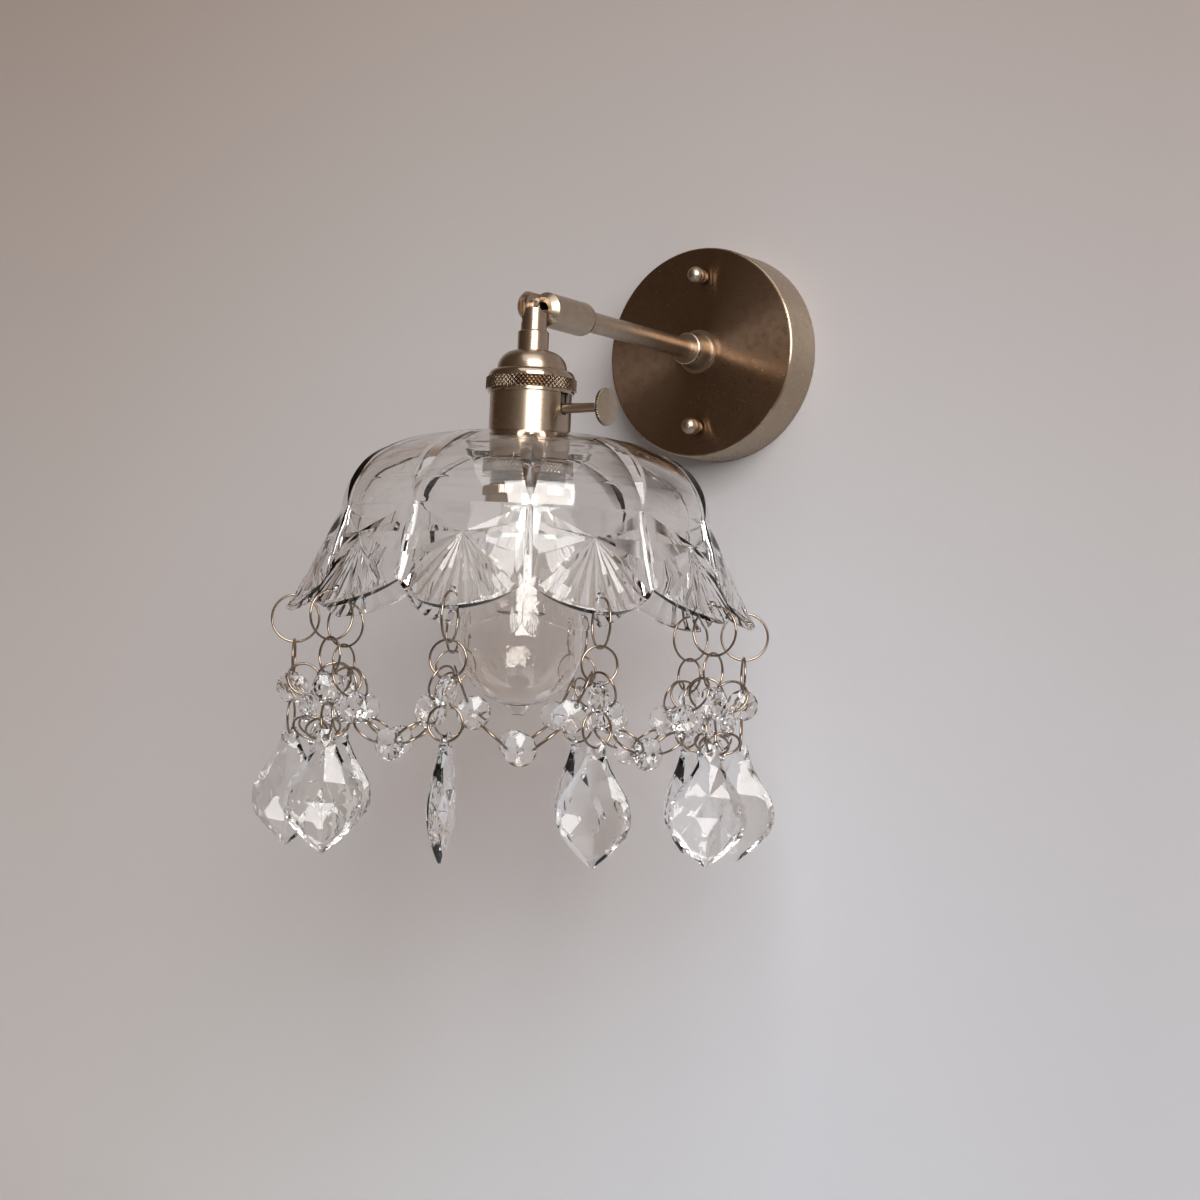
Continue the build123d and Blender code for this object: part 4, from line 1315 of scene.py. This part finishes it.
@dataclass
class CrystalFringe:
    """Rings, beads and drops, each set where the model's own solids hang."""

    wire_radius: float = 0.6
    ring_steps: int = 56
    wire_sides: int = 10
    ring_radii: dict = field(
        default_factory=lambda: {
            "hook_rings": 12.0,
            "link_rings": 9.0,
            "pendant_rings": 8.5,
            "garland_rings": 8.5,
        }
    )
    drop_hole_drop: float = 4.0
    strands: int = 10
    butt_share: float = 0.7  # width of the wire where its ends meet
    wire_angle: float = 40.0  # edges sharper than these many degrees stay sharp
    facet_angle: float = 1.0

    def ring(self, radius: float) -> bpy.types.Object:
        """A ring of round wire with the butted ends of a jump ring.

        Args:
            radius: Radius of the wire's middle.

        Returns:
            The model, in millimetres, about the X axis.
        """
        bpy.ops.object.select_all(action="DESELECT")
        bpy.ops.mesh.primitive_torus_add(
            major_segments=self.ring_steps,
            minor_segments=self.wire_sides,
            major_radius=radius,
            minor_radius=self.wire_radius,
        )
        piece = bpy.context.object
        middle = Vector((radius, 0, 0))
        for vertex in piece.data.vertices:
            if abs(math.atan2(vertex.co.y, vertex.co.x)) < 1e-3:
                vertex.co = middle + (vertex.co - middle) * self.butt_share
        piece.data.transform(Matrix.Rotation(math.pi / 2, 4, "Y"))
        return piece

    def rings(self, palette: Palette) -> None:
        """Replaces the rings of every kind.

        Args:
            palette: The materials.
        """
        for node, radius in self.ring_radii.items():
            places = []
            for solid in solids_of(node):
                normal = solid.axes[0]
                level = Vector((0, 0, 1)).cross(normal)
                places.append(solid.place(normal, normal.cross(level)))
            piece = Bench.copies(f"{node}_of_wire", self.ring(radius), places)
            Bench.finish(piece, self.wire_angle)
            palette.stand_in(piece, node, Finish.WIRE, LAMPHOLDER)

    def beads(self, palette: Palette) -> None:
        """Replaces the beads of the strands and garlands.

        Args:
            palette: The materials.
        """
        for node in ("centre_beads", "garland_beads"):
            model = Crystal("bead_model", (8.0, 8.0, 4.0), 0.0, bead_facets(), (5.8, -5.8), 1.3).build()
            places = [solid.place(solid.axes[0], solid.axes[2]) for solid in solids_of(node)]
            piece = Bench.copies(f"{node}_cut", model, places)
            Bench.finish(piece, self.facet_angle)
            palette.stand_in(piece, node, Finish.CRYSTAL, LAMPHOLDER)

    def drops(self, palette: Palette) -> None:
        """Replaces the ten leaf-shaped drops.

        Args:
            palette: The materials.
        """
        for number in range(1, self.strands + 1):
            node = f"pendant_{number:02d}"
            solid = solids_of(node)[0]
            model = LeafDrop().build()
            solid.centre = Vector((solid.centre.x, solid.centre.y, solid.high.z - self.drop_hole_drop))
            piece = Bench.copies(f"{node}_cut", model, [solid.place(solid.axes[0], Vector((0, 0, 1)))])
            Bench.finish(piece, self.facet_angle)
            palette.stand_in(piece, node, Finish.CRYSTAL, f"drop_{number:02d}")

    def build(self, palette: Palette) -> None:
        """Makes the whole fringe.

        Args:
            palette: The materials.
        """
        self.rings(palette)
        self.beads(palette)
        self.drops(palette)


# ------------------------------------------------------------------- lampholder
def diamond_knurl(
    teeth: int, rows: int, depth: float, low: float, high: float, radius: float
) -> Callable[[float, float, float], float]:
    """Relief of a diamond knurl, whose points and grooves take turns on a grid.

    Args:
        teeth: Points round the band; the band has twice as many columns.
        rows: Steps down the band.
        depth: Depth of the grooves.
        low: Lower edge of the band.
        high: Upper edge.
        radius: The band's radius.

    Returns:
        The change of radius, as Bench.turned wants it.
    """

    def relief(angle: float, at_radius: float, height: float) -> float:
        if at_radius < radius - 1e-3:
            return 0.0
        column = round(angle * teeth / math.pi)
        row = round((high - height) / (high - low) * rows)
        return -depth if (column + row) % 2 else 0.0

    return relief


def straight_knurl(
    teeth: int, depth: float, low: float, high: float, radius: float
) -> Callable[[float, float, float], float]:
    """Relief of straight milling on a turned band.

    Args:
        teeth: Grooves round the band.
        depth: Depth of the grooves.
        low: Lower edge of the band.
        high: Upper edge.
        radius: The band's radius.

    Returns:
        The change of radius, as Bench.turned wants it.
    """

    def relief(angle: float, at_radius: float, height: float) -> float:
        if at_radius < radius - 1e-3 or not low < height < high:
            return 0.0
        return -depth * abs(angle * teeth / (2 * math.pi) % 1.0 - 0.5) * 2

    return relief


def band(radius: float, high: float, low: float, rows: int, edge: float = 0.5) -> list[tuple[float, float]]:
    """Profile corners of a band with rounded-off edges, from its top down.

    Args:
        radius: The band's radius.
        high: Its upper edge.
        low: Its lower edge.
        rows: Steps down the band.
        edge: Size of the chamfers.

    Returns:
        Corners (radius, height).
    """
    inner = [(radius, high - edge + (low - high + 2 * edge) * row / rows) for row in range(rows + 1)]
    return [(radius - edge, high), *inner, (radius - edge, low)]


@dataclass
class Lampholder:
    """Neck, cap, knurled rings, shell, key and thread of the lampholder."""

    knurl_radius: float = 23.5
    knurl_high: float = -37.6
    knurl_low: float = -43.8
    knurl_edge: float = 0.5
    knurl_rows: int = 4
    knurl_depth: float = 0.8
    shoulder_radius: float = 22.3
    teeth: int = 62
    smooth_angle: float = 25.0

    def cap_ring(self) -> bpy.types.Object:
        """The ring with a diamond knurl under the cap.

        Returns:
            The model, in millimetres, about the Z axis.
        """
        bend = (Vector((18.6, -33.2)), Vector((21.2, -34.5)), Vector((self.shoulder_radius, self.knurl_high)))
        shoulder = [tuple(arc_through(*bend, step / 6)) for step in range(7)]
        profile = [
            (18.1, -33.2),
            *shoulder,
            *band(self.knurl_radius, self.knurl_high, self.knurl_low, self.knurl_rows, self.knurl_edge),
            (self.shoulder_radius, -43.9),
            (self.shoulder_radius, -45.1),
            (self.shoulder_radius - 0.3, -45.4),
            (21.1, -45.4),
            (21.1, -38.2),
            (18.1, -38.2),
        ]
        low, high = self.knurl_low + self.knurl_edge, self.knurl_high - self.knurl_edge
        relief = diamond_knurl(self.teeth, self.knurl_rows, self.knurl_depth, low, high, self.knurl_radius)
        return Bench.turned("cap_ring_knurled", profile, self.teeth * 2, relief)

    def upper_ring(self) -> bpy.types.Object:
        """The knurled ring that presses on the glass from below.

        Returns:
            The model, in millimetres, about the Z axis.
        """
        high, low, edge = -79.3, -85.9, self.knurl_edge
        profile = [(19.9, high), *band(self.knurl_radius, high, low, self.knurl_rows, edge), (19.9, low)]
        relief = diamond_knurl(
            self.teeth, self.knurl_rows, self.knurl_depth, low + edge, high - edge, self.knurl_radius
        )
        return Bench.turned("shade_ring_upper_knurled", profile, self.teeth * 2, relief)

    def lower_ring(self) -> bpy.types.Object:
        """The milled lock ring with its plain lip.

        Returns:
            The model, in millimetres, about the Z axis.
        """
        teeth, radius, high, low = 96, 22.8, -93.2, -98.2
        milled = band(radius, high, low, 4, 0.4)
        lip = ((21.4, -98.3), (21.4, -102.4), (21.0, -102.8), (19.9, -102.8))
        relief = straight_knurl(teeth, 0.5, low + 0.2, high - 0.2, radius)
        return Bench.turned("shade_ring_lower_milled", [(19.9, high), *milled, *lip], teeth * 6, relief)

    def skirt(self) -> bpy.types.Object:
        """The threaded skirt that the rings run on.

        Returns:
            The model, in millimetres, about the Z axis.
        """
        rows, high, low = 114, -64.2, -102.2
        outer = [(19.6, high + (low - high) * row / rows) for row in range(rows + 1)]
        pitch, depth = 2.0, 0.8

        def thread(angle: float, radius: float, height: float) -> float:
            if radius < 19.5 or not low < height < high:
                return 0.0
            phase = (height / pitch - angle / (2 * math.pi)) % 1.0
            return -depth * max(0.0, min(1.0, abs(phase - 0.5) * 3.4 - 0.35))

        return Bench.turned("threaded_skirt_cut", [*outer, (17.2, low), (17.2, high)], 96, thread)

    def knob(self) -> bpy.types.Object:
        """The round key with a milled edge.

        Returns:
            The model, in millimetres, about the Z axis.
        """
        radius, thick = 9.6, 2.4
        edge = ((radius - 0.9, 0.0), (radius - 0.35, 0.25), (radius, 0.6))
        rear = [(out, thick - up) for out, up in reversed(edge)]
        profile = [(0.0, 0.0), *edge, *rear, (0.0, thick)]
        teeth = 44
        relief = straight_knurl(teeth, 0.55, 0.3, thick - 0.3, radius)
        return Bench.turned("switch_knob_milled", profile, teeth * 6, relief)

    def build(self, palette: Palette) -> None:
        """Makes the lampholder's detailed pieces and dresses its CAD nodes.

        Args:
            palette: The materials.
        """
        works = {
            "cap_ring": self.cap_ring,
            "shade_ring_upper": self.upper_ring,
            "shade_ring_lower": self.lower_ring,
            "threaded_skirt": self.skirt,
        }
        for node, make in works.items():
            piece = make()
            Bench.finish(piece, self.smooth_angle, AT_SOCKET)
            palette.stand_in(piece, node, Finish.KNURLED, LAMPHOLDER)
        knob = self.knob()
        low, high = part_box("switch_knob")
        seat = Vector((low.x, (low.y + high.y) / 2, (low.z + high.z) / 2)) / MM
        Bench.finish(knob, self.smooth_angle, Matrix.Translation(seat) @ Matrix.Rotation(math.pi / 2, 4, "Y"))
        palette.stand_in(knob, "switch_knob", Finish.ARM, KEY)
        palette.dress_nodes(Finish.TURNED, "neck", "socket_cap", "socket_shell", "neck_nut")
        palette.dress_nodes(Finish.ARM, "switch_stem", "screw_shell", "bulb_cap", "centre_contact")
        palette.dress_nodes(Finish.PHENOLIC, "socket_core")


@dataclass
class WallPlateAndArm:
    """Wall plate, its fixings, collar, tube and knuckle."""

    def build(self, palette: Palette) -> None:
        """Dresses the CAD nodes.

        Args:
            palette: The materials.
        """
        palette.dress_nodes(Finish.PLATE_FACE, "back_plate")
        palette.dress_nodes(
            Finish.ZINC, "mounting_bracket", "bracket_studs", "nipple", "plate_washer", "lock_nut"
        )
        palette.dress_nodes(Finish.ARM, "dome_nuts", "arm_collar", "arm_tube", "arm_knuckle", "pivot_screw")


@dataclass
class Bulb:
    """The clear bulb, with its blown stem, supports and filament."""

    flare_radius: float = 9.8
    flare_drop: float = 13.0
    tube_radii: tuple = (4.2, 3.0)
    pinch_radius: float = 1.5
    button_radius: float = 3.0
    wall: float = 0.6
    support_root: float = 2.6
    support_reach: float = 14.0
    dip: tuple = (9.0, 1.5)  # between two supports the filament comes in and down
    supports: int = 6
    smooth_angle: float = 30.0
    wire_radius: float = 0.22

    def stem(self) -> bpy.types.Object:
        """The hollow glass stem with its button.

        Returns:
            The model, in millimetres, about the Z axis.
        """
        low, high = (corner.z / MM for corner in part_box("bulb_stem"))
        tube = [
            (self.flare_radius, high),
            (self.tube_radii[0] + 2.4, high - self.flare_drop * 0.45),
            (self.tube_radii[0], high - self.flare_drop),
            (self.tube_radii[1], low + 12.0),
            (self.tube_radii[1] - 0.5, low + 10.4),
            (self.pinch_radius, low + 9.0),
        ]
        hollow = [(max(radius - self.wall, 0.5), height + 0.4) for radius, height in reversed(tube)]
        button = [
            (0.0, low + 8.4),
            (self.pinch_radius, low + 8.4),
            (self.pinch_radius, low + 3.4),
            (self.button_radius * 0.85, low + 2.6),
            (self.button_radius, low + 1.5),
            (self.button_radius * 0.85, low + 0.5),
            (self.pinch_radius, low),
            (0.0, low),
        ]
        blown = Bench.turned("bulb_stem_blown", [*tube, *hollow], 40)
        solid = Bench.turned("bulb_stem_button", button, 24)
        Bench.choose(blown, solid)
        bpy.ops.object.join()
        return blown

    def supports_and_filament(self) -> bpy.types.Object:
        """Support wires that spread from the button, with the filament strung between.

        Returns:
            The model, in millimetres, about the Z axis.
        """
        low, high = (corner.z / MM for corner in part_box("filament"))
        level = (low + high) / 2
        pieces, points = [], []
        for number in range(self.supports):
            bearing = 2 * math.pi * number / self.supports
            way = Vector((math.cos(bearing), math.sin(bearing), 0.0))
            middle = Vector((0, 0, level))
            root, hook = middle + way * self.support_root, middle + way * self.support_reach
            pieces.append(self.wire([root, hook], self.wire_radius))
            points += [hook, self.between(number, level)]
        pieces.append(self.wire([*points, points[0]], self.wire_radius * 0.6))
        Bench.choose(*pieces)
        bpy.ops.object.join()
        pieces[0].name = "filament_strung"
        return pieces[0]

    def between(self, number: int, level: float) -> Vector:
        """The place where the filament dips between two supports.

        Args:
            number: The first support's number.
            level: Height of the supports.

        Returns:
            The place.
        """
        bearing = 2 * math.pi * (number + 0.5) / self.supports
        across, down = self.dip
        return Vector((across * math.cos(bearing), across * math.sin(bearing), level - down))

    @staticmethod
    def wire(points: Sequence[Vector], radius: float) -> bpy.types.Object:
        """A straight-sided wire through points.

        Args:
            points: The points, in millimetres.
            radius: The wire's radius.

        Returns:
            The wire's mesh.
        """
        corners, faces, sides = [], [], 6
        for start, end in zip(points, points[1:]):
            along = (end - start).normalized()
            across = along.orthogonal().normalized()
            other = along.cross(across)
            first = len(corners)
            for spot in (start, end):
                for side in range(sides):
                    turn = 2 * math.pi * side / sides
                    corners.append(spot + (across * math.cos(turn) + other * math.sin(turn)) * radius)
            near = [first + side for side in range(sides)]
            far = [corner + sides for corner in near]
            pairs = zip(near, near[1:] + near[:1])
            faces += [(a, b, b + sides, a + sides) for a, b in pairs]
            faces += [tuple(reversed(near)), tuple(far)]
        return Bench.mesh("wire", corners, faces)

    def build(self, palette: Palette) -> None:
        """Makes the stem and filament and dresses the globe.

        Args:
            palette: The materials.
        """
        palette.dress_nodes(Finish.BULB_GLASS, "bulb_globe")
        works = (
            (self.stem, "bulb_stem", Finish.STEM_GLASS, "bulb_glass"),
            (self.supports_and_filament, "filament", Finish.FILAMENT, "filament_wire"),
        )
        for make, node, finish, slot in works:
            piece = make()
            Bench.finish(piece, self.smooth_angle, AT_SOCKET)
            palette.stand_in(piece, node, finish, LAMPHOLDER)


# ----------------------------------------------------------------------- studio
@dataclass
class Studio:
    """Camera, wall, lamps and the room's soft light."""

    yaw: float = 33.21
    pitch: float = 2.62
    roll: float = 2.34
    camera_place: Place = (0.7436, -1.2554, -0.2090)
    focal_length: float = 76.107
    room_through_glass: float = 0.75

    def camera(self) -> None:
        """Puts the camera where the photograph was taken."""
        yaw, pitch, roll = (math.radians(value) for value in (self.yaw, self.pitch, self.roll))
        forward = Vector((-math.sin(yaw) * math.cos(pitch), math.cos(yaw) * math.cos(pitch), math.sin(pitch)))
        right = Vector((math.cos(yaw), math.sin(yaw), 0.0))
        up = right.cross(forward)
        rolled_right = right * math.cos(roll) + up * math.sin(roll)
        rolled_up = up * math.cos(roll) - right * math.sin(roll)
        turned = Matrix((rolled_right, rolled_up, -forward)).transposed().to_4x4()
        data = bpy.data.cameras.new("camera")
        data.lens, data.sensor_width = self.focal_length, 36.0
        camera = bpy.data.objects.new("camera", data)
        camera.matrix_world = Matrix.Translation(self.camera_place) @ turned
        bpy.context.collection.objects.link(camera)
        bpy.context.scene.camera = camera

    def wall(self) -> None:
        """A pale wall that curves into a floor, seen from its front only."""
        profile = [(0.0, 3.0), (0.0, -1.2)]
        for step in range(1, 13):
            angle = math.pi / 2 * step / 12
            profile.append((-0.5 * (1 - math.cos(angle)), -1.2 - 0.5 * math.sin(angle)))
        profile.append((-5.0, -1.7))
        points, faces = [], []
        for row, (depth, height) in enumerate(profile):
            points += [(-4000, depth * 1000 + 0.3, height * 1000), (4000, depth * 1000 + 0.3, height * 1000)]
            if row:
                faces.append((2 * row - 2, 2 * row, 2 * row + 1, 2 * row - 1))
        data = bpy.data.meshes.new("wall_and_floor")
        data.from_pydata(points, [], faces)
        data.transform(Matrix.Scale(MM, 4))
        wall = bpy.data.objects.new("wall_and_floor", data)
        bpy.context.collection.objects.link(wall)
        Bench.choose(wall)
        bpy.ops.object.shade_smooth()
        wall.data.materials.append(self.plaster_with_painted_light())

    def plaster_with_painted_light(self) -> bpy.types.Material:
        """Pale plaster with painted light and shade: darker and browner towards the top, paler towards the
        bottom, warmer on the left and darker on the right.

        Returns:
            The material.
        """
        graph = Graph(bpy.data.materials.new("wall_painted_light_and_shade"))
        spot = graph.add("ShaderNodeSeparateXYZ", Vector=graph.coordinates())
        lean = graph.sum("ADD", graph.sum("MULTIPLY", spot.outputs["X"], 0.2), spot.outputs["Z"])
        # Painted shade: the wall darkens and browns upwards, and is paler and cooler lower down.
        heights = (
            (0.0, (0.60, 0.635, 0.685)),
            (0.333, (0.50, 0.51, 0.545)),
            (0.667, (0.393, 0.380, 0.386)),
            (1.0, (0.29, 0.25, 0.23)),
        )
        # Painted light and shade across the wall: warmer on the left, brightest left of the middle, darker on
        # the right.
        widths = (
            (0.0, (0.98, 0.905, 0.84)),
            (0.4, (1.0, 0.98, 0.955)),
            (0.75, (0.97, 0.97, 0.98)),
            (1.0, (0.87, 0.86, 0.86)),
        )
        painted_shade_upwards = graph.ramp(graph.span(lean, -0.6, 0.3), heights)
        across = graph.ramp(graph.span(spot.outputs["X"], -0.52, 0.26), widths)
        paint = graph.add(
            "ShaderNodeBsdfDiffuse",
            Color=graph.blend(1.0, painted_shade_upwards, across, "MULTIPLY"),
            Normal=graph.bump(graph.noise(400, 4.0), 0.06, MM),
        )
        away = graph.add("ShaderNodeNewGeometry").outputs["Backfacing"]
        nothing = graph.add("ShaderNodeBsdfTransparent")
        mix = graph.add("ShaderNodeMixShader", in0=away, in1=paint.outputs[0], in2=nothing.outputs[0])
        return graph.close(mix.outputs[0])

    def lamp(
        self, name: str, toward: Place, distance: float, size: float, power: float, colour: Colour
    ) -> None:
        """A soft lamp that shines on the shade.

        Args:
            name: The lamp's name.
            toward: Direction from the shade to the lamp.
            distance: Distance from the shade, in metres.
            size: Side of the square lamp, in metres.
            power: Its power, in watts.
            colour: Its colour.
        """
        data = bpy.data.lights.new(name, "AREA")
        data.size, data.energy, data.color = size, power, colour
        lamp = bpy.data.objects.new(name, data)
        way = Vector(toward).normalized()
        lamp.location = Vector((0, -0.15, -0.12)) + way * distance
        lamp.rotation_mode = "QUATERNION"
        lamp.rotation_quaternion = way.to_track_quat("Z", "Y")
        bpy.context.collection.objects.link(lamp)

    def room(self) -> None:
        """The room's soft light: pale on the right, dark brown on the left."""
        graph = Graph(bpy.data.worlds.new("room"))
        source = graph.add("ShaderNodeTexCoord").outputs["Generated"]
        spot = graph.add("ShaderNodeSeparateXYZ", in0=source)
        widths = (
            (0.0, (0.10, 0.065, 0.045)),
            (0.3, (0.15, 0.11, 0.08)),
            (0.65, (0.34, 0.28, 0.24)),
            (1.0, (0.5, 0.44, 0.4)),
        )
        across = graph.span(spot.outputs["X"], -1.0, 1.0)
        dim = graph.add("ShaderNodeBackground", Color=graph.ramp(across, widths))
        pale = graph.add("ShaderNodeBackground", Color=(0.62, 0.59, 0.575, 1))
        rays = graph.add("ShaderNodeLightPath")
        through = graph.sum("MULTIPLY", rays.outputs["Is Transmission Ray"], self.room_through_glass)
        held = {"operation": "ADD", "use_clamp": True}
        plain = graph.add("ShaderNodeMath", held, in0=rays.outputs["Is Camera Ray"], in1=through)
        mix = graph.add("ShaderNodeMixShader", in0=plain.outputs[0], in1=dim.outputs[0], in2=pale.outputs[0])
        bpy.context.scene.world = graph.close(mix.outputs[0])

    def build(self) -> None:
        """Sets up camera, wall, lamps and room."""
        self.camera()
        self.wall()
        self.room()
        self.lamp("window", (0.632, -0.678, 0.40), 2.0, 1.4, 57.0, (1.0, 0.985, 0.965))
        self.lamp("ceiling", (0.25, -0.45, 0.86), 2.2, 1.8, 13.5, (1.0, 0.99, 0.98))
        bpy.context.scene.view_settings.view_transform = "Standard"


def main() -> None:
    """Builds the studio and dresses the sconce."""
    logging.basicConfig(level=logging.INFO, format="%(name)s: %(message)s")
    Studio().build()
    palette = Palette()
    for assembly in (WallPlateAndArm(), Lampholder(), Bulb(), GlassShade(), CrystalFringe()):
        assembly.build(palette)


if __name__ == "__main__":
    main()
